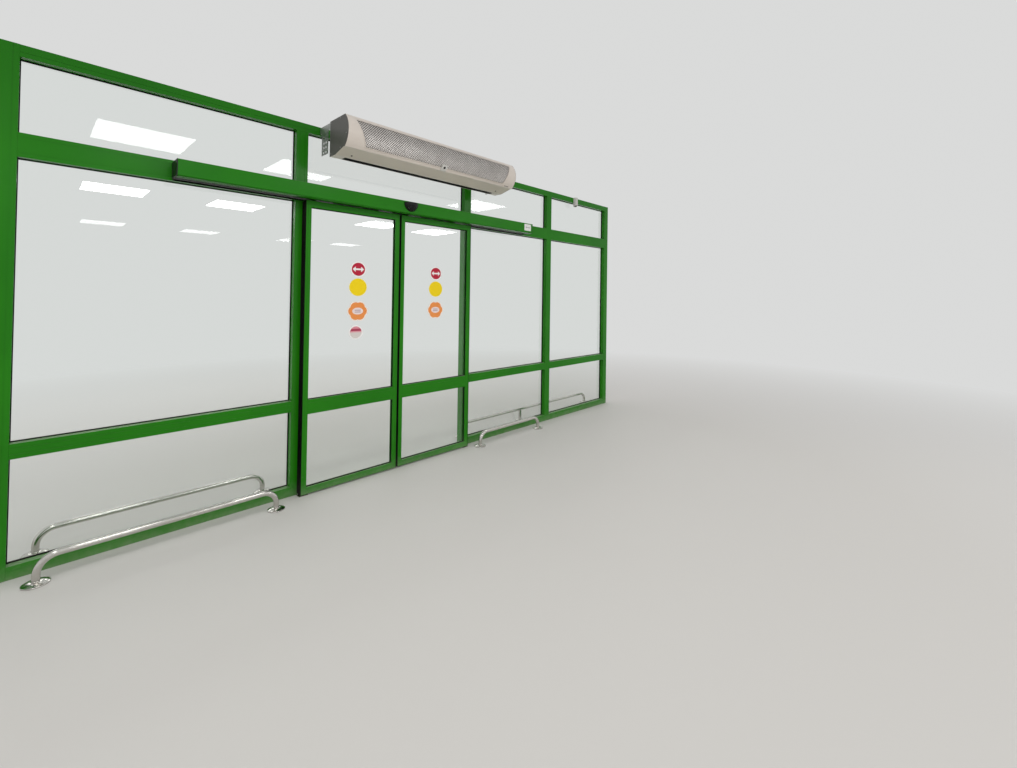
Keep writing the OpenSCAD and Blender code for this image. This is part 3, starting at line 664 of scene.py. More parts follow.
# %% Ribbed strips
STRIP_T = 0.0015
RIB = 0.0014
RIB_POWER = 0.6
SEAL_LIP = 0.0010
SEAL_EDGE = STRIP_T * 0.7
SEAL_BACK = 0.003
SEAL_PLAY = 0.002


def ribbed(start, end, ribs, count=85):
    """Distance from start to end, and how far the ribs stand out there."""
    share = np.linspace(0.0, 1.0, count)
    return start + (end - start) * share, RIB * np.abs(np.sin(np.pi * ribs * share)) ** RIB_POWER


# On the left leaf, whose side shows in the gap at the jamb, this black strip is partly painted shade for
# that gap.
for side, outward in (("left", -1), ("right", 1)):
    low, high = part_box(side + "_leaf_stiles")
    face_x = low.x if outward < 0 else high.x
    seal_y, out = ribbed(low.y, high.y - SEAL_BACK, 7)
    lip_x = np.array([-outward * SEAL_LIP, -outward * SEAL_LIP, 0.0, outward * SEAL_EDGE])
    lip_y = low.y - np.array([0.0, STRIP_T, STRIP_T, SEAL_EDGE])
    profile = np.concatenate([np.stack([face_x + lip_x, lip_y], 1),
                              np.stack([face_x + outward * (STRIP_T + out), seal_y], 1)])
    sheet(side + "_leaf_side_seal_and_gap_shade", carried(profile, 2, low.z + SEAL_PLAY, high.z - SEAL_PLAY),
          rubber_black, side + "_leaf", STRIP_T, offset=outward)

cover_low, cover_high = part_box("header_cover")
STRIP_BACK = 0.075
PLATE_BACK = 0.064
PLATE_GAP = 0.0008
PLATE_FOLD = 0.0018
SHEET_PLAY = 0.001
LINE_PLAY = 0.0005


def under_header(name, profile, material):
    """A sheet under the header: pairs of distance back from its front and distance below it."""
    profile = np.array([(cover_low.y + back, cover_low.z - below) for back, below in profile])
    shape = carried(profile, 0, cover_low.x + SHEET_PLAY, cover_high.x - SHEET_PLAY)
    sheet(name, shape, material, "screen", STRIP_T)


folded = PLATE_GAP + PLATE_FOLD
UNDER_PLATE = [(0.0008, PLATE_GAP), (0.0016, folded), (0.0300, folded), (0.0312, PLATE_GAP),
               (0.0335, PLATE_GAP), (0.0347, folded), (PLATE_BACK, folded)]
under_header("header_under_plate", UNDER_PLATE, green_coat)
strip_back, out = ribbed(PLATE_BACK + 0.001, STRIP_BACK, 2, 25)
under_header("header_under_strip", zip(strip_back, STRIP_T / 2 + out), rubber_black)
# The plain black strip over the glass line is partly a seal and partly painted shade for that narrow dark
# line.
line_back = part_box("door_transom")[0].y - cover_low.y - STRIP_T / 2
line_low = cover_low.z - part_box("door_transom")[0].z
under_header("header_line_seal_and_shade", [(line_back, LINE_PLAY), (line_back, line_low - LINE_PLAY)],
             rubber_black)

# %% [markdown]
# The jambs carry brush strips that close the gap to the sliding leaves. A strip is a thin channel with
# a pile of fibres, on a wider flat backing of black rubber, which reaches out into the gap beside the
# leaf, where its black is partly painted shade for that gap. Each tuft here is a narrow blade of two
# faces with a thin wall, leaning a little at random, so the pile has a ragged edge against the light.
# The random numbers come from a fixed seed.

# %% Brush strips
TUFT_STEP = 0.0022
TUFT_ROWS = 3
TUFT_T = 0.0003
TUFT_HALF = 0.0009
TUFT_ROOT = 0.001
TUFT_SIDE = 0.0035
TUFT_LOW = 0.001
TUFT_HIGH = 0.002
TUFT_STRAY = 0.001
TUFT_LEAN = 0.0006
TUFT_SHORTEST = 0.90
TUFT_TAPER = np.array([1.0, 0.9, 0.35])
HOLDER_DEEP = 0.0035
HOLDER_LIP = 0.0024
HOLDER_T = 0.0008


def tufts(low, high, rng):
    """Blades from the holder to the leaf: a grid of tufts along z and across x, each with its own
    lean and length."""
    count = int((high.z - low.z) / TUFT_STEP)
    z = np.tile(np.linspace(low.z + TUFT_LOW, high.z - TUFT_HIGH, count), TUFT_ROWS)
    x = np.repeat(np.linspace(low.x + TUFT_SIDE, high.x - TUFT_SIDE, TUFT_ROWS), count)
    x = x + rng.uniform(-TUFT_STRAY, TUFT_STRAY, x.size)
    reach = (high.y - low.y - HOLDER_DEEP + TUFT_ROOT) * rng.uniform(TUFT_SHORTEST, 1.0, x.size)
    lean = rng.normal(0.0, TUFT_LEAN, (x.size, 2))
    root_y = high.y - HOLDER_DEEP + TUFT_ROOT
    share = np.array([0.0, 0.5, 1.0])[None, :, None]
    width = (TUFT_HALF * TUFT_TAPER)[None, :, None]
    edge = np.array([-1.0, 1.0])
    px = x[:, None, None] + lean[:, 0, None, None] * share ** 2 + 0 * edge
    py = root_y - reach[:, None, None] * share + 0 * edge
    pz = z[:, None, None] + lean[:, 1, None, None] * share ** 2 + width * edge
    points = np.stack([px, py, pz], -1)
    index = np.arange(points.size // 3).reshape(-1, 3, 2)
    faces = np.stack([index[:, :-1, 0], index[:, 1:, 0], index[:, 1:, 1], index[:, :-1, 1]], -1)
    faces = faces.reshape(-1, 4)
    return points.reshape(-1, 3), faces, np.zeros((len(faces), 4, 2))


def channel(low, high):
    """A shallow U with turned-in lips, open towards the room, carried up z."""
    front = high.y - HOLDER_DEEP
    x = np.array([low.x + HOLDER_LIP, low.x, low.x, high.x, high.x, high.x - HOLDER_LIP])
    y = np.array([front, front, high.y, high.y, front, front])
    height = np.array([low.z, high.z])
    points = np.stack(np.broadcast_arrays(x[None, :], y[None, :], height[:, None]), -1)
    return grid(points)


brush_low, brush_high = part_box("jamb_brushes")
BRUSH_W = 0.012
strips = [(brush_low, Vector((brush_low.x + BRUSH_W, brush_high.y, brush_high.z))),
          (Vector((brush_high.x - BRUSH_W, brush_low.y, brush_low.z)), brush_high)]
rng = np.random.default_rng(11)
sheet("jamb_brush_piles", join([tufts(low, high, rng) for low, high in strips]), fibre_black,
      "screen", TUFT_T, ["jamb_brushes"])
sheet("jamb_brush_holders", join([channel(low, high) for low, high in strips]), black_plastic,
      "screen", HOLDER_T, offset=INWARDS)
# The backings are wider than the brushes and reach into the gap beside each leaf: their black is partly
# painted shade there.
BACKING_T = 0.0012
GAP_SHADE_BACKING_W = 0.029


def backing(start):
    """A flat strip from start on along x, behind a channel and out past it into the gap beside the leaf,
    where its black is partly painted shade.
    """
    y = brush_high.y - BACKING_T / 2
    return carried(np.array([(start, y), (start + GAP_SHADE_BACKING_W, y)]), 2, brush_low.z, brush_high.z)


gap_shade_backings = [backing(brush_low.x + BRUSH_W - GAP_SHADE_BACKING_W), backing(brush_high.x - BRUSH_W)]
sheet("jamb_brush_gap_shade_backings", join(gap_shade_backings), rubber_black, "screen", BACKING_T)

# %% [markdown]
# The leaves are driven by a toothed belt that runs round the motor's pulley and an idler. Its path is
# two straights and two half circles. Each point of the path gets the belt's four corners, and the
# inner face is pushed in wherever a tooth stands, which is a rounded square wave of the distance along
# the path.

# %% Toothed belt
BELT_T = 0.003
TOOTH = 0.005
TOOTH_DEEP = 0.0011
TOOTH_STEEP = 2.2
SECTION_V = np.array([0.0, BELT_T, 0.015, 0.018, 0.03])


def belt(low, high):
    """A closed racetrack in x and z, as a rounded rectangle section whose inner face has teeth."""
    radius = (high.z - low.z) / 2 - BELT_T / 2
    middle_z = (low.z + high.z) / 2
    ends = (low.x + BELT_T / 2 + radius, high.x - BELT_T / 2 - radius)
    straight = ends[1] - ends[0]
    around = 2 * straight + 2 * np.pi * radius
    teeth = int(around / TOOTH)
    s = np.linspace(0.0, around, teeth * 4 + 1)
    arc = np.pi * radius
    s_right = s - straight
    s_top, s_left = s - straight - arc, s - 2 * straight - arc
    turn_right = np.clip(s_right / radius, 0.0, np.pi)
    turn_left = np.clip(s_left / radius, 0.0, np.pi)
    x = (ends[0] + np.clip(s, 0, straight) + radius * np.sin(turn_right)
         - np.clip(s_top, 0, straight) - radius * np.sin(turn_left))
    angle = turn_right + turn_left
    z = middle_z - radius * np.cos(angle)
    out_x, out_z = np.sin(angle), -np.cos(angle)
    wave = 0.5 - 0.5 * np.clip(TOOTH_STEEP * np.cos(2 * np.pi * teeth * s / around), -1, 1)
    inner = -BELT_T / 2 + TOOTH_DEEP * wave
    outer = np.full_like(s, BELT_T / 2)
    off = np.stack([inner, outer, outer, inner, inner], 1)
    y = np.array([low.y, low.y, high.y, high.y, low.y])
    points = np.stack(np.broadcast_arrays(x[:, None] + off * out_x[:, None], y[None, :],
                                          z[:, None] + off * out_z[:, None]), -1)
    return grid(points, s, SECTION_V)


piece("toothed_belt", belt(*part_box("drive_belt")), rubber_black, "screen", ["drive_belt"])

# %% [markdown]
# The guard rails are bent from one tube each, with a domed cover plate where each leg meets the floor.
# The tube's middle line is a straight, a quarter turn, a straight, a quarter turn and a straight, all
# in one upright plane, so the section's two axes are simply the plane's own normal and the middle
# line's normal. The cover plate is a profile turned about the leg.

# %% Guard rails
TUBE_R = 0.016
BEND_R = 0.080
FLANGE_R = 0.052
ROUND = 40
LEG_START = 0.002
LEG_POINTS = 4
BEND_PLAY = 0.001
LEG_SINK = 0.004
DOME_WIDE = 0.0490
DOME_NARROW = 0.0185
DOME_FOOT = 0.0062
DOME_RISE = 0.0100
ROSE_RIM = [(0.0505, 0.0), (0.0518, 0.0008), (0.0520, 0.0020), (0.0518, 0.0042), (0.0508, 0.0056),
            (0.0498, 0.0060)]
ROSE_COLLAR = [(0.0175, 0.0176), (0.0165, 0.0180), (0.0155, 0.0172), (0.0155, 0.0), (0.0505, 0.0)]
ASKEW = (0.3, 0.5, 0.8)


def tube(path, radius):
    """A round section of the radius carried along a path in x and z at a fixed y, closed by poles."""
    step = np.gradient(path[:, [0, 2]], axis=0)
    step /= np.linalg.norm(step, axis=1, keepdims=True)
    turn = np.linspace(0.0, 2 * np.pi, ROUND + 1)
    normal = np.stack([-step[:, 1], np.zeros(len(path)), step[:, 0]], 1)
    across = np.array([0.0, 1.0, 0.0])
    points = path[:, None, :] + radius * (np.cos(turn)[None, :, None] * normal[:, None, :]
                                          + np.sin(turn)[None, :, None] * across)
    u = lengths(path)
    return grid(with_ends(points), np.concatenate([u[:1], u, u[-1:]]), turn * radius)


def bent_path(left, right, y, top):
    """Up one leg, a quarter turn, across, a quarter turn and down the other leg."""
    bend = np.linspace(0.0, np.pi / 2, 17)
    leg = np.linspace(LEG_START, top - BEND_R - BEND_PLAY, LEG_POINTS)
    first_x = left + BEND_R * (1 - np.cos(bend))
    first_z = top - BEND_R + BEND_R * np.sin(bend)
    run = np.linspace(left + BEND_R, right - BEND_R, 14)[1:-1]
    x = np.concatenate([np.full(LEG_POINTS, left), first_x, run, right + left - first_x[::-1],
                        np.full(LEG_POINTS, right)])
    z = np.concatenate([leg, first_z, np.full(run.size, top), first_z[::-1], leg[::-1]])
    return np.stack([x, np.full(x.size, y), z], 1)


def turned(profile, centre, axis=(0.0, 0.0, 1.0), segments=48, swell=1.0):
    """A profile of radius and rise turned about an axis through the centre. The turn starts square
    to ASKEW, a direction that no axis here follows. swell multiplies the radius, and may differ from
    row to row and along the turn."""
    axis = np.array(axis) / np.linalg.norm(axis)
    side = np.cross(axis, ASKEW)
    side /= np.linalg.norm(side)
    turn = np.linspace(0.0, 2 * np.pi, segments + 1)
    around = np.cos(turn)[:, None] * side + np.sin(turn)[:, None] * np.cross(axis, side)
    radius = profile[:, :1] * swell * np.ones(turn.size)
    points = np.array(centre) + radius[..., None] * around + profile[:, 1][:, None, None] * axis
    return grid(points, lengths(profile), turn * profile[:, 0].max())


def rose_profile():
    """Rim, shallow dome and collar of a cover plate, back down inside the tube to close it."""
    share = np.linspace(0.0, 1.0, 9)
    dome_r = DOME_WIDE - share * (DOME_WIDE - DOME_NARROW)
    dome_h = DOME_FOOT + DOME_RISE * np.sin(share * np.pi / 2)
    return np.concatenate([ROSE_RIM, np.stack([dome_r, dome_h], 1), ROSE_COLLAR])


MIDDLE_LEG = 0.160
for name in ("front_left_guard", "front_right_guard", "back_left_guard", "back_right_guard"):
    low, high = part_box(name)
    left, right = low.x + FLANGE_R, high.x - FLANGE_R
    y, top = (low.y + high.y) / 2, high.z - TUBE_R
    parts = [tube(bent_path(left, right, y, top), TUBE_R)]
    feet = [left, right]
    if name == "back_right_guard":
        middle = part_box("sidelight_mullion")[0].x - MIDDLE_LEG
        feet.append(middle)
        z = np.linspace(LEG_START, top - LEG_SINK, LEG_POINTS)
        leg = np.stack([np.full(LEG_POINTS, middle), np.full(LEG_POINTS, y), z], 1)
        parts.append(tube(leg, TUBE_R))
    parts += [turned(rose_profile(), (x, y, 0.0)) for x in feet]
    piece(name + "_rail", join(parts), steel_polished, "screen", [name])

# %% [markdown]
# The air curtain breathes in through expanded metal: a sheet that is slit and pulled, so that it opens
# into diamonds whose strands stand at a slant. Each diamond is a ring of four faces between its outer
# corners, which it shares with its neighbours, and its hole. The hole's upper corner stands out and
# its lower corner in, which slants every strand. The flat sheet is then bent round the curtain's front
# by using the distance along the sheet as the angle times the radius.

# %% Intake mesh
FRONT_R = 0.140
FRONT_DROP = 0.108
MESH_LONG = 0.016
MESH_SHORT = 0.018
HOLE_SHARE = 0.64
SLANT = 0.0016
MESH_SINK = 0.0022
MESH_T = 0.0008
MESH_CLEAR = 0.0005
RIM_W = 0.009
INTAKE_LEAN = 0.080
curtain_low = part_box("curtain_casing")[0]
curtain_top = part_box("curtain_casing")[1].z
grille_low, grille_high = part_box("curtain_grille")
arc_y = curtain_low.y + FRONT_R
arc_z = curtain_top - FRONT_DROP
arc_start = np.arcsin((grille_low.z - arc_z) / FRONT_R)
arc_length = FRONT_R * (np.arcsin((grille_high.z - arc_z) / FRONT_R) - arc_start)


def round_front(x, along, radius):
    """Bends a flat sheet round the curtain's front: along is the distance from the intake's lower
    edge, and the angle is that distance over the front's radius."""
    angle = arc_start + along / FRONT_R
    y = arc_y - radius * np.cos(angle)
    z = arc_z + radius * np.sin(angle)
    return np.stack(np.broadcast_arrays(x, y, z), -1)


def intake_edge(along, side, inset=0.0):
    """x of the intake's left (-1) or right (1) edge. The edges lean: lower down they lie closer
    together, by INTAKE_LEAN each at the lower corners."""
    z = arc_z + FRONT_R * np.sin(arc_start + along / FRONT_R)
    lean = INTAKE_LEAN * (grille_high.z - z) / (grille_high.z - grille_low.z) + inset
    return grille_low.x + lean if side < 0 else grille_high.x - lean


def expanded_metal():
    """Staggered diamonds as rings of four faces, slanted and bent round the front. Those that would
    reach past the intake's leaning edges are left out."""
    columns = int((grille_high.x - grille_low.x) / MESH_LONG)
    rows = int(arc_length / MESH_SHORT - 0.5)
    i, j, k = np.meshgrid(np.arange(columns), np.arange(rows), np.arange(2), indexing="ij")
    middle_x = (grille_low.x + grille_high.x) / 2
    cx = (middle_x + (i + k * 0.5 - columns / 2 + 0.25) * MESH_LONG).reshape(-1, 1)
    ct = (arc_length / 2 + (j + k * 0.5 - rows / 2 + 0.25) * MESH_SHORT).reshape(-1, 1)
    reach = MESH_LONG / 2 + MESH_CLEAR
    inside = ((cx - reach > intake_edge(ct, -1)) & (cx + reach < intake_edge(ct, 1)))[:, 0]
    cx, ct = cx[inside], ct[inside]
    corner_x = np.array([-0.5, 0.0, 0.5, 0.0]) * MESH_LONG
    corner_t = np.array([0.0, -0.5, 0.0, 0.5]) * MESH_SHORT
    rise = np.array([0.0, -SLANT, 0.0, SLANT])
    outer = round_front(cx + corner_x, ct + corner_t, FRONT_R - MESH_SINK)
    inner = round_front(cx + HOLE_SHARE * corner_x, ct + HOLE_SHARE * corner_t, FRONT_R - MESH_SINK + rise)
    points = np.concatenate([outer, inner], 1)
    base = np.arange(len(cx))[:, None, None] * 8
    ring = np.array([[0, 1, 5, 4], [1, 2, 6, 5], [2, 3, 7, 6], [3, 0, 4, 7]])
    faces = (base + ring[None]).reshape(-1, 4)
    return points.reshape(-1, 3), faces, np.zeros((len(faces), 4, 2))


sheet("intake_mesh", expanded_metal(), mesh_metal, "screen", MESH_T, ["curtain_grille"])

# %% [markdown]
# A folded rim of casing metal holds the mesh, and a grey filter cloth lies behind it in small waves.
# The rim is a flat ring with mitred corners: its outer outline is the intake's own and its inner one
# is the same outline moved inwards. The cloth is a sheet whose radius is a sine of the place along X.
# Both are then bent round the same front.

# %% Rim and filter behind the mesh
RIM_SINK = 0.0002
RIM_T = 0.0010
CLOTH_GAP = 0.0008
CLOTH_SINK = 0.016
CLOTH_T = 0.0015
WAVES = 74
WAVE_HIGH = 0.0025


def intake_outline(inset):
    """x and distance along the front of the intake's outline, moved inwards by inset: up the right
    side, over to the left side, down it and back to the start."""
    up = np.linspace(inset, arc_length - inset, 33)
    right, left = intake_edge(up, 1, inset), intake_edge(up, -1, inset)
    return np.concatenate([right, left[::-1], right[:1]]), np.concatenate([up, up[::-1], up[:1]])


outer_x, outer_along = intake_outline(0.0)
inner_x, inner_along = intake_outline(RIM_W)
rim_x = np.stack([outer_x, inner_x], 1)
rim_along = np.stack([outer_along, inner_along], 1)
rim = round_front(rim_x, rim_along, FRONT_R - RIM_SINK)
sheet("intake_rim", grid(rim), casing_white, "screen", RIM_T, offset=INWARDS)
across = np.linspace(0.0, 1.0, WAVES * 5 + 1)[:, None]
wave_r = FRONT_R - CLOTH_SINK + WAVE_HIGH * np.sin(2 * np.pi * WAVES * across)
cloth_along = np.linspace(CLOTH_GAP, arc_length - CLOTH_GAP, 33)
cloth_left = intake_edge(cloth_along, -1, CLOTH_GAP)
cloth_right = intake_edge(cloth_along, 1, CLOTH_GAP)
cloth = round_front(cloth_left * (1 - across) + cloth_right * across, cloth_along, wave_r)
sheet("intake_filter", grid(cloth), grey_filter, "screen", CLOTH_T, offset=INWARDS)

# %% [markdown]
# At eye height both leaves carry round film discs, so that nobody walks into the glass. They are
# printed film a few tenths of a millimetre thick on the room side. The outline is a circle, a circle
# with six soft lobes or, for the label on the header, a rounded rectangle. The print is worked
# out from the sheet's own flat map, which runs from -1 to 1 both ways, and the rim from how far out a
# point lies as a share of the outline. The prints are plain signs: a double arrow for doors that part,
# a plain warning yellow, an oval with two bars, and a band.

# %% Printed discs
FILM = 0.0004
FILM_GAP = 0.00005
TURN = np.linspace(0.0, 2 * np.pi, 97)
LOBE_DEPTH = 0.125
LOBE_POWER = 0.7
CORNER_POWER = 14


def film_sheet(centre, reach, face_y, swell=1.0):
    """A flat sheet that looks towards -Y: centre in x and z, reach in x and z, and a factor on both
    that may change with the angle. Its front, edge and back are one closed grid."""
    share = np.linspace(0.0, 1.0, 3)[:, None] * swell
    flat = np.stack([share * np.cos(TURN), share * np.sin(TURN)], -1)
    flat = np.concatenate([flat, flat[::-1]])
    depth = np.repeat([face_y - FILM, face_y], 3)[:, None]
    points, faces, _ = grid(np.stack(np.broadcast_arrays(
        centre[0] + reach[0] * flat[..., 0], depth, centre[1] + reach[1] * flat[..., 1]), -1))
    return points, faces, flat.reshape(-1, 2)[faces]


LOBES = 1 - LOBE_DEPTH * (1 - np.abs(np.cos(3 * TURN)) ** LOBE_POWER)
SQUARED = (np.abs(np.cos(TURN)) ** CORNER_POWER
           + np.abs(np.sin(TURN)) ** CORNER_POWER) ** (-1 / CORNER_POWER)


def round_share(x, y):
    """How far out a point lies as a share of a circle's radius."""
    return (x * x + y * y) ** 0.5


def lobed_share(x, y):
    """The same for the outline with six lobes, whose radius follows from the angle."""
    angle = x.maths("ARCTAN2", y, x)
    lobes = 1.0 - LOBE_DEPTH * (1.0 - abs((angle * 3).cosine()) ** LOBE_POWER)
    return round_share(x, y) / lobes


def squared_share(x, y):
    """The same for the rounded rectangle: the high power lets the larger of x and y decide."""
    return (abs(x) ** CORNER_POWER + abs(y) ** CORNER_POWER) ** (1 / CORNER_POWER)


def film(name, field, rim, prints, rim_from, how_far=round_share):
    """Printed film: a field colour, prints as pairs of a mask and an ink, and a rim beyond a share of
    the outline."""
    made = Finish(name, ior=1.45, specular_ior_level=0.3)
    x = made.split(made.node("ShaderNodeUVMap"))
    y = x.out("Y")
    fade = made.noise(made.place(), 60.0, 4.0).fade(0.3, 0.8)
    inked = made.mix(fade * 0.02, field, rim)
    for mask, ink in prints:
        inked = made.mix(mask(x, y), inked, ink)
    made.set(base_color=made.mix(how_far(x, y).fade(rim_from - 0.01, rim_from + 0.01), inked, rim),
             roughness=0.34 + 0.15 * fade)
    return made.material


def double_arrow(x, y):
    """1 on a bar with an arrow head at each end: the head's half height falls off along |x|."""
    along, off = abs(x), abs(y)
    bar = off.fade(0.12, 0.10) * along.fade(0.50, 0.48)
    head = (off - (0.72 - along) * 0.95).fade(0.01, -0.01) * along.fade(0.34, 0.36)
    return bar.most(head)


def oval_print(x, y):
    """1 inside a lying oval."""
    return (x * x * 3.6 + y * y * 9.0).fade(1.02, 0.94)


def oval_bars(x, y):
    """1 on two short bars inside the oval."""
    return abs(abs(y) - 0.085).fade(0.045, 0.030) * abs(x).fade(0.30, 0.28)


def band_print(x, y):
    """1 on a band over the middle."""
    return y.fade(0.14, 0.20) * y.fade(0.52, 0.46)


def half_print(x, y):
    """1 in the upper half, fading out downwards."""
    return y.fade(-0.10, 0.14)


WHITE_INK = (0.95, 0.93, 0.91)
red_film = film("red film", (0.52, 0.008, 0.038), WHITE_INK, [(double_arrow, WHITE_INK)], 0.84)
yellow_film = film("yellow film", (0.98, 0.72, 0.002), (0.98, 0.84, 0.22), [], 0.95)
orange_film = film("orange film", (0.92, 0.31, 0.075), (0.97, 0.88, 0.78),
                   [(oval_print, (0.92, 0.78, 0.74)), (oval_bars, (0.42, 0.30, 0.40))], 0.89, lobed_share)
pale_film = film("pale film", (0.74, 0.68, 0.64), WHITE_INK,
                 [(half_print, (0.80, 0.30, 0.36)), (band_print, (0.45, 0.06, 0.11))], 0.82)
blank_label = film("blank label", (0.86, 0.86, 0.83), (0.80, 0.80, 0.76),
                   [(double_arrow, (0.45, 0.46, 0.45))], 0.93, squared_share)
DISCS = {"red": (red_film, (0.0, 1.590), (0.0635, 0.0592), 1.0),
         "yellow": (yellow_film, (0.0, 1.454), (0.0715, 0.0675), 1.0),
         "orange": (orange_film, (0.0, 1.273), (0.0840, 0.0790), LOBES),
         "pale": (pale_film, (-0.012, 1.113), (0.0565, 0.0540), 1.0)}
DISC_X = {"left": 0.412, "right": 1.132}
SIDE_DISCS = {"left": ("red", "yellow", "orange", "pale"), "right": ("red", "yellow", "orange")}
for side, colours in SIDE_DISCS.items():
    glass_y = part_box(side + "_leaf_glass")[0].y
    for colour in colours:
        material, (shift, height), reach, swell = DISCS[colour]
        piece(f"{side}_leaf_disc_{colour}",
              film_sheet((DISC_X[side] + shift, height), reach, glass_y - FILM_GAP, swell),
              material, side + "_leaf")
LABEL_CENTRE = (2.212, 2.112)
LABEL_REACH = (0.050, 0.034)
piece("header_label", film_sheet(LABEL_CENTRE, LABEL_REACH, cover_low.y - FILM_GAP, SQUARED),
      blank_label, "screen")

# %% [markdown]
# Over the doors sits a round presence sensor: a black half dome with a flat top, a seam under its rim,
# a glossy window and two lenses. Its body is a profile turned in front of the header. Each row of the
# grid starts and ends on the header's front, so the rows are arcs whose ends follow from the radius,
# and one more column closes the back. The window is a patch of the same ball, a little larger, with a
# straight upper edge and a half oval below it.

# %% Door sensor
SENSOR_R = 0.066
SENSOR_SINK = 0.018
SENSOR_RIM = 0.008
sensor_low, sensor_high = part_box("door_sensor")
sensor_centre = np.array([(sensor_low.x + sensor_high.x) / 2, sensor_high.y + SENSOR_SINK,
                          sensor_high.z - SENSOR_RIM])


def half_turned(profile, centre, sink):
    """A profile of radius and height turned about an upright line sink behind a plane, for the part
    in front of the plane: the arc starts where its radius meets the plane."""
    first = np.arcsin(np.clip(sink / profile[:, :1], 0.0, 1.0))
    share = np.append(np.linspace(0.0, 1.0, 41), 0.0)
    angle = first + (np.pi - 2 * first) * share
    offset = np.stack([profile[:, :1] * np.cos(angle), -profile[:, :1] * np.sin(angle),
                       profile[:, 1:] + 0 * angle], -1)
    return grid(centre + offset)


def on_ball(dip, turn, radius):
    """A point of the sensor's ball: dip is the angle below its middle, turn the angle to the right."""
    return np.stack([radius * np.cos(dip) * np.sin(turn), -radius * np.cos(dip) * np.cos(turn),
                     -radius * np.sin(dip)], -1)


SEAM_DIP = 0.02
dip = np.linspace(SEAM_DIP, np.arccos(SENSOR_SINK / SENSOR_R), 26)
top_rows = np.array([(SENSOR_SINK, 0.0080), (0.0400, 0.0083), (0.0615, 0.0080), (0.0645, 0.0071),
                     (0.0660, 0.0048), (0.0660, 0.0018), (0.0645, 0.0012), (0.0645, 0.0002)])
ball_rows = np.stack([SENSOR_R * np.cos(dip), -SENSOR_R * np.sin(dip)], 1)
piece("sensor_body", half_turned(np.concatenate([top_rows, ball_rows]), sensor_centre, SENSOR_SINK),
      black_plastic, "screen", ["door_sensor"])
WINDOW_TOP = 0.24
WINDOW_TALL = 0.74
WINDOW_HALF = 0.95
WINDOW_OUT = 0.0006
WINDOW_T = 0.0012
sweep = np.linspace(0.0, np.pi / 2, 17)[:, None]
window_turn = WINDOW_HALF * np.cos(sweep) * np.linspace(-1.0, 1.0, 27)
window_dip = WINDOW_TOP + WINDOW_TALL * np.sin(sweep) + 0 * window_turn
window = sensor_centre + on_ball(window_dip, window_turn, SENSOR_R + WINDOW_OUT)
sheet("sensor_window", grid(window), smoked_window, "screen", WINDOW_T)
LENS_DIP = 0.56
LENS_TURN = 0.42
LENS = np.array([(0.0, -0.002), (0.0105, -0.002), (0.0105, 0.0010), (0.0088, 0.0030), (0.0050, 0.0044),
                 (0.0, 0.0049)])
lenses = [turned(LENS, sensor_centre + on_ball(LENS_DIP, turn, SENSOR_R), on_ball(LENS_DIP, turn, 1.0), 28)
          for turn in (-LENS_TURN, LENS_TURN)]
piece("sensor_lenses", join(lenses), smoked_window, "screen")

# %% [markdown]
# The air curtain's receiver has a small dark eye in a bezel, and the detector on the head rail has a
# ribbed lens round its front, a dark window below and a red lamp. The eye sits on the round front, so
# its axis is the radius through the receiver's middle. The ribs of the lens are a sine of the height.

# %% Eye and detector
EYE_BEZEL = np.array([(0.0125, -0.001), (0.0125, 0.0012), (0.0112, 0.0020), (0.0098, 0.0014),
                      (0.0092, 0.0), (0.0092, -0.001), (0.0125, -0.001)])
EYE_DOME = np.array([(0.0, -0.0008), (0.0091, -0.0008), (0.0091, 0.0008), (0.0085, 0.0022),
                     (0.0060, 0.0040), (0.0030, 0.0048), (0.0, 0.0050)])
receiver_low, receiver_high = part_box("curtain_receiver")
RECEIVER_OUT = 0.007
RECEIVER_R = FRONT_R + RECEIVER_OUT
eye_angle = np.arcsin(((receiver_low.z + receiver_high.z) / 2 - arc_z) / RECEIVER_R)
eye_axis = np.array([0.0, -np.cos(eye_angle), np.sin(eye_angle)])
eye_centre = np.array([(receiver_low.x + receiver_high.x) / 2, arc_y, arc_z]) + RECEIVER_R * eye_axis
piece("receiver_bezel", turned(EYE_BEZEL, eye_centre, eye_axis, 32), white_plastic, "screen")
piece("receiver_eye", turned(EYE_DOME, eye_centre, eye_axis, 32), smoked_window, "screen")

ALARM_SLANT = np.radians(25.0)
alarm_low, alarm_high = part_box("alarm_detector")
alarm_r = (alarm_high.x - alarm_low.x) / 2
alarm_x, alarm_y = alarm_low.x + alarm_r, alarm_low.y + alarm_r
LENS_FOOT = 0.034
LENS_HEAD = 0.016
LENS_SWEEP = 1.15
LENS_ROWS = 61
LENS_OUT = 0.0006
LENS_T = 0.0008
LENS_RIBS = 12
LENS_RIB = 0.0004
lens_z = np.linspace(alarm_low.z + LENS_FOOT, alarm_high.z - LENS_HEAD, LENS_ROWS)[:, None]
lens_turn = np.linspace(-LENS_SWEEP, LENS_SWEEP, 25)[None, :]
ribs = np.sin(2 * np.pi * LENS_RIBS * np.linspace(0.0, 1.0, LENS_ROWS))[:, None]
rib_r = alarm_r + LENS_OUT + LENS_RIB * ribs
lens = np.stack([alarm_x + rib_r * np.sin(lens_turn), alarm_y - rib_r * np.cos(lens_turn),
                 lens_z + 0 * lens_turn], -1)
sheet("detector_lens", grid(lens), white_plastic, "screen", LENS_T)
under_axis = np.array([0.0, -np.sin(ALARM_SLANT), -np.cos(ALARM_SLANT)])


def under_point(out):
    """A point of the detector's slanted underside, out from the wall."""
    return np.array([alarm_x, alarm_high.y - out * np.cos(ALARM_SLANT),
                     alarm_low.z + out * np.sin(ALARM_SLANT)])


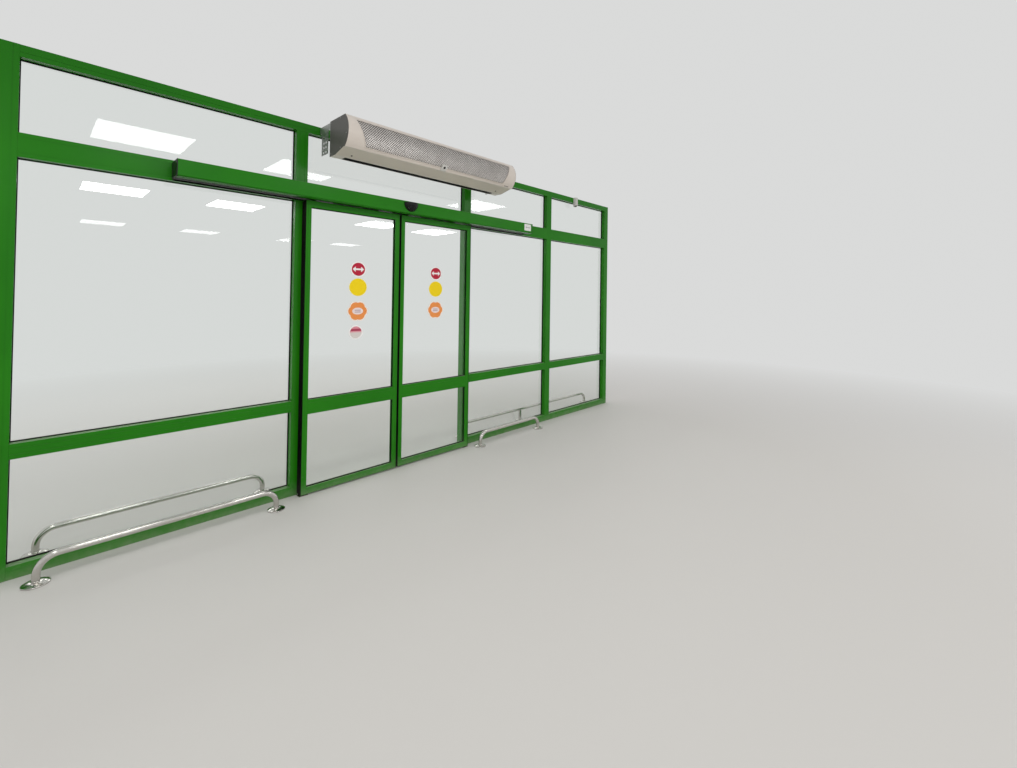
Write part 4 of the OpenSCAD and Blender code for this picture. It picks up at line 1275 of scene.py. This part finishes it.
WINDOW_FROM_WALL = 0.021
LAMP_FROM_WALL = 0.040
DARK_WINDOW = np.array([(0.0, -0.001), (0.0150, -0.001), (0.0150, 0.0004), (0.0140, 0.0010),
                        (0.0, 0.0012)])
piece("detector_window", turned(DARK_WINDOW, under_point(WINDOW_FROM_WALL), under_axis, 32),
      smoked_window, "screen")
LAMP_DOME = np.array([(0.0, -0.001), (0.0028, -0.001), (0.0028, 0.0006), (0.0020, 0.0018),
                      (0.0, 0.0024)])
piece("detector_lamp", turned(LAMP_DOME, under_point(LAMP_FROM_WALL), under_axis, 20), red_lens,
      "screen")

# %% [markdown]
# Small fastenings finish the metalwork: button screws in the header's and the curtain's end plates,
# black ones in the curtain's chin, and bolts where the brackets meet the head rail and where the
# guides meet the floor. A button head is a shallow dome with a six-sided socket: a turned profile
# whose socket rows take a six-sided radius in place of a round one.

# %% Screws
BUTTON = np.array([(0.0, 0.12), (0.42, 0.12), (0.42, 0.50), (0.62, 0.47), (0.84, 0.32), (1.0, 0.08),
                   (1.0, -0.05), (0.0, -0.05)])
SCREW_SEGMENTS = 24
screw_turn = np.linspace(0.0, 2 * np.pi, SCREW_SEGMENTS + 1)
six = np.cos(np.pi / 6) / np.cos((screw_turn % (np.pi / 3)) - np.pi / 6)
SOCKET_ROWS = 3
socket_rows = (np.arange(len(BUTTON)) < SOCKET_ROWS)[:, None]
HEXED = 1 + socket_rows * (six - 1)


def button_screw(centre, axis, radius):
    """A dome with a hexagonal socket about an axis that points out of the surface."""
    return turned(BUTTON * radius, centre, axis, SCREW_SEGMENTS, HEXED)


header_low, header_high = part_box("header_end_plates")
SCREW_INSET = 0.012
END_SCREW_R = 0.0040
header_screws = [button_screw((x, y, z), (out, 0, 0), END_SCREW_R)
                 for x, out in ((header_low.x, -1), (header_high.x, 1))
                 for y in (header_low.y + SCREW_INSET, header_high.y - SCREW_INSET)
                 for z in (header_low.z + SCREW_INSET, header_high.z - SCREW_INSET)]
piece("header_screws", join(header_screws), black_plastic, "screen")
plate_low, plate_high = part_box("curtain_end_plates")
BACK_SCREWS = [(0.015, 2.585), (0.015, 2.372), (0.150, 2.588)]
FRONT_SCREWS = [(0.030, 2.470), (0.112, 2.388)]
spots = ([(plate_high.y - inwards, z) for inwards, z in BACK_SCREWS]
         + [(plate_low.y + inwards, z) for inwards, z in FRONT_SCREWS])
curtain_screws = [button_screw((x, y, z), (out, 0, 0), END_SCREW_R)
                  for x, out in ((plate_low.x, -1), (plate_high.x, 1)) for y, z in spots]
piece("curtain_screws", join(curtain_screws), zinc_steel, "screen")
CHIN_SCREW = (0.104, -0.328, 2.3631)
CHIN_AXIS = (0.0, -0.246, -0.969)
CHIN_SCREW_R = 0.0062
chin_screws = [button_screw((x, CHIN_SCREW[1], CHIN_SCREW[2]), CHIN_AXIS, CHIN_SCREW_R)
               for x in (plate_low.x + CHIN_SCREW[0], plate_high.x - CHIN_SCREW[0])]
piece("chin_screws", join(chin_screws), black_plastic, "screen")
bracket_low, bracket_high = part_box("curtain_brackets")
BRACKET_T = 0.003
BRACKET_BOLT_R = 0.0065
BRACKET_BOLTS_IN = (0.016, 0.031)
BOLT_OVER_HEAD_RAIL_FOOT = 0.030
GUIDE_FOOT = 0.004
GUIDE_BOLT_R = 0.0045
GUIDE_BOLTS_IN = (0.010, 0.050)
GUIDE_BOLT_FORWARD = 0.007


def from_both_ends(low_x, high_x, steps):
    """x at each step inwards from the low end, and then from the high end."""
    return [low_x + step for step in steps] + [high_x - step for step in steps]


bolt_y, bolt_z = bracket_high.y - BRACKET_T, head_low + BOLT_OVER_HEAD_RAIL_FOOT
bracket_bolts = [button_screw((x, bolt_y, bolt_z), (0, -1, 0), BRACKET_BOLT_R)
                 for x in from_both_ends(bracket_low.x, bracket_high.x, BRACKET_BOLTS_IN)]
guide_low, guide_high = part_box("floor_guides")
guide_bolts = [button_screw((x, guide_high.y - GUIDE_BOLT_FORWARD, GUIDE_FOOT), (0, 0, 1), GUIDE_BOLT_R)
               for x in from_both_ends(guide_low.x, guide_high.x, GUIDE_BOLTS_IN)]
piece("fixing_bolts", join(bracket_bolts + guide_bolts), zinc_steel, "screen")

# %% [markdown]
# The right end of the casing has a narrow latch slot just over the chin. Its dark inside is painted
# shade: a thin black inlay on the bent front, a stretched rounded outline laid on the sheet and bent
# with it.

# %% Latch slot
SLOT_X = 1.632
SLOT_ALONG = -0.008
SLOT_HALF_LONG = 0.025
SLOT_HALF_HIGH = 0.0024
SLOT_OUT = 0.0004
spread = np.linspace(0.0, 1.0, 5)[:, None]
slot_x = SLOT_X + spread * SLOT_HALF_LONG * SQUARED * np.cos(TURN)
slot_along = SLOT_ALONG + spread * SLOT_HALF_HIGH * SQUARED * np.sin(TURN)
slot = np.concatenate([round_front(slot_x, slot_along, FRONT_R + SLOT_OUT),
                       round_front(slot_x, slot_along, FRONT_R - SLOT_OUT)[::-1]])
# Black plastic as painted shade for the inside of the slot.
piece("latch_slot_painted_shade", grid(slot), black_plastic, "screen")

# %% [markdown]
# Last come the stage, the light and the world. The floor is plain and pale, and fades into the sky far
# away. The lamps are square panels in rows over the room side, with a few places left empty, and one
# row over the far side: soft on the paint, and square where the glass mirrors them. The world is an
# even pale sky. Rays that are seen straight, in a mirror or through glass take its pale colour at
# strength 1; all other rays take a plain level.

# %% Floor
FLOOR_HALF = 60.0
SKY = (0.70, 0.705, 0.70, 1.0)
FADE_FROM = 2.6
FADE_TO = 8.5
FADE_MIDDLE = (1.3, -1.0, 0.0)
floor_mesh = bpy.data.meshes.new("floor")
floor_corners = [(x * FLOOR_HALF, y * FLOOR_HALF, 0) for x, y in ((-1, -1), (1, -1), (1, 1), (-1, 1))]
floor_mesh.from_pydata(floor_corners, [], [(0, 1, 2, 3)])
floor = bpy.data.objects.new("floor", floor_mesh)
bpy.context.scene.collection.objects.link(floor)
floor_finish = Finish("pale floor", base_color=(0.64, 0.62, 0.59, 1.0), roughness=0.6)
distance = floor_finish.node("ShaderNodeVectorMath", {"operation": "DISTANCE"},
                             {0: floor_finish.place(), 1: FADE_MIDDLE}, "Value")
far_pale = floor_finish.node("ShaderNodeEmission", None, {"Color": SKY, "Strength": 1.0})
far_share = distance.fade(FADE_FROM, FADE_TO) * floor_finish.seen_rays()
floor_finish.surface(floor_finish.blend(far_share, floor_finish.shader, far_pale))
floor_mesh.materials.append(floor_finish.material)

# %% Lamps
LAMP_SIZE = 0.60
LAMP_Z = 2.65
LAMP_WATTS = 5.4
MIDDLE_ROW = (-1.9, -0.60, 0.72, 3.0, 4.2)
LAMP_ROWS = {-1.45: (-1.9, -0.68, 0.60, 2.95), -4.2: MIDDLE_ROW,
             -8.1: (-1.9, -0.40, 1.11, 3.0, 4.2), 4.19: MIDDLE_ROW}
for y, row in LAMP_ROWS.items():
    for x in row:
        lamp_data = bpy.data.lights.new(f"lamp_{x}_{y}", "AREA")
        lamp_data.shape = "SQUARE"
        lamp_data.size = LAMP_SIZE
        lamp_data.energy = LAMP_WATTS
        lamp = bpy.data.objects.new(lamp_data.name, lamp_data)
        lamp.location = (x, y, LAMP_Z)
        lamp.visible_camera = False
        bpy.context.scene.collection.objects.link(lamp)

# %% World
AMBIENT = 0.72
world = bpy.data.worlds.new("studio")
bpy.context.scene.world = world
world.use_nodes = True
sky = Graph(world.node_tree)
plain_light = sky.node("ShaderNodeBackground", None, {"Color": (1.0, 1.0, 1.0, 1.0), "Strength": AMBIENT})
pale_sky = sky.node("ShaderNodeBackground", None, {"Color": SKY, "Strength": 1.0})
sky.node("ShaderNodeOutputWorld", None, {"Surface": sky.blend(sky.seen_rays(), plain_light, pale_sky)})
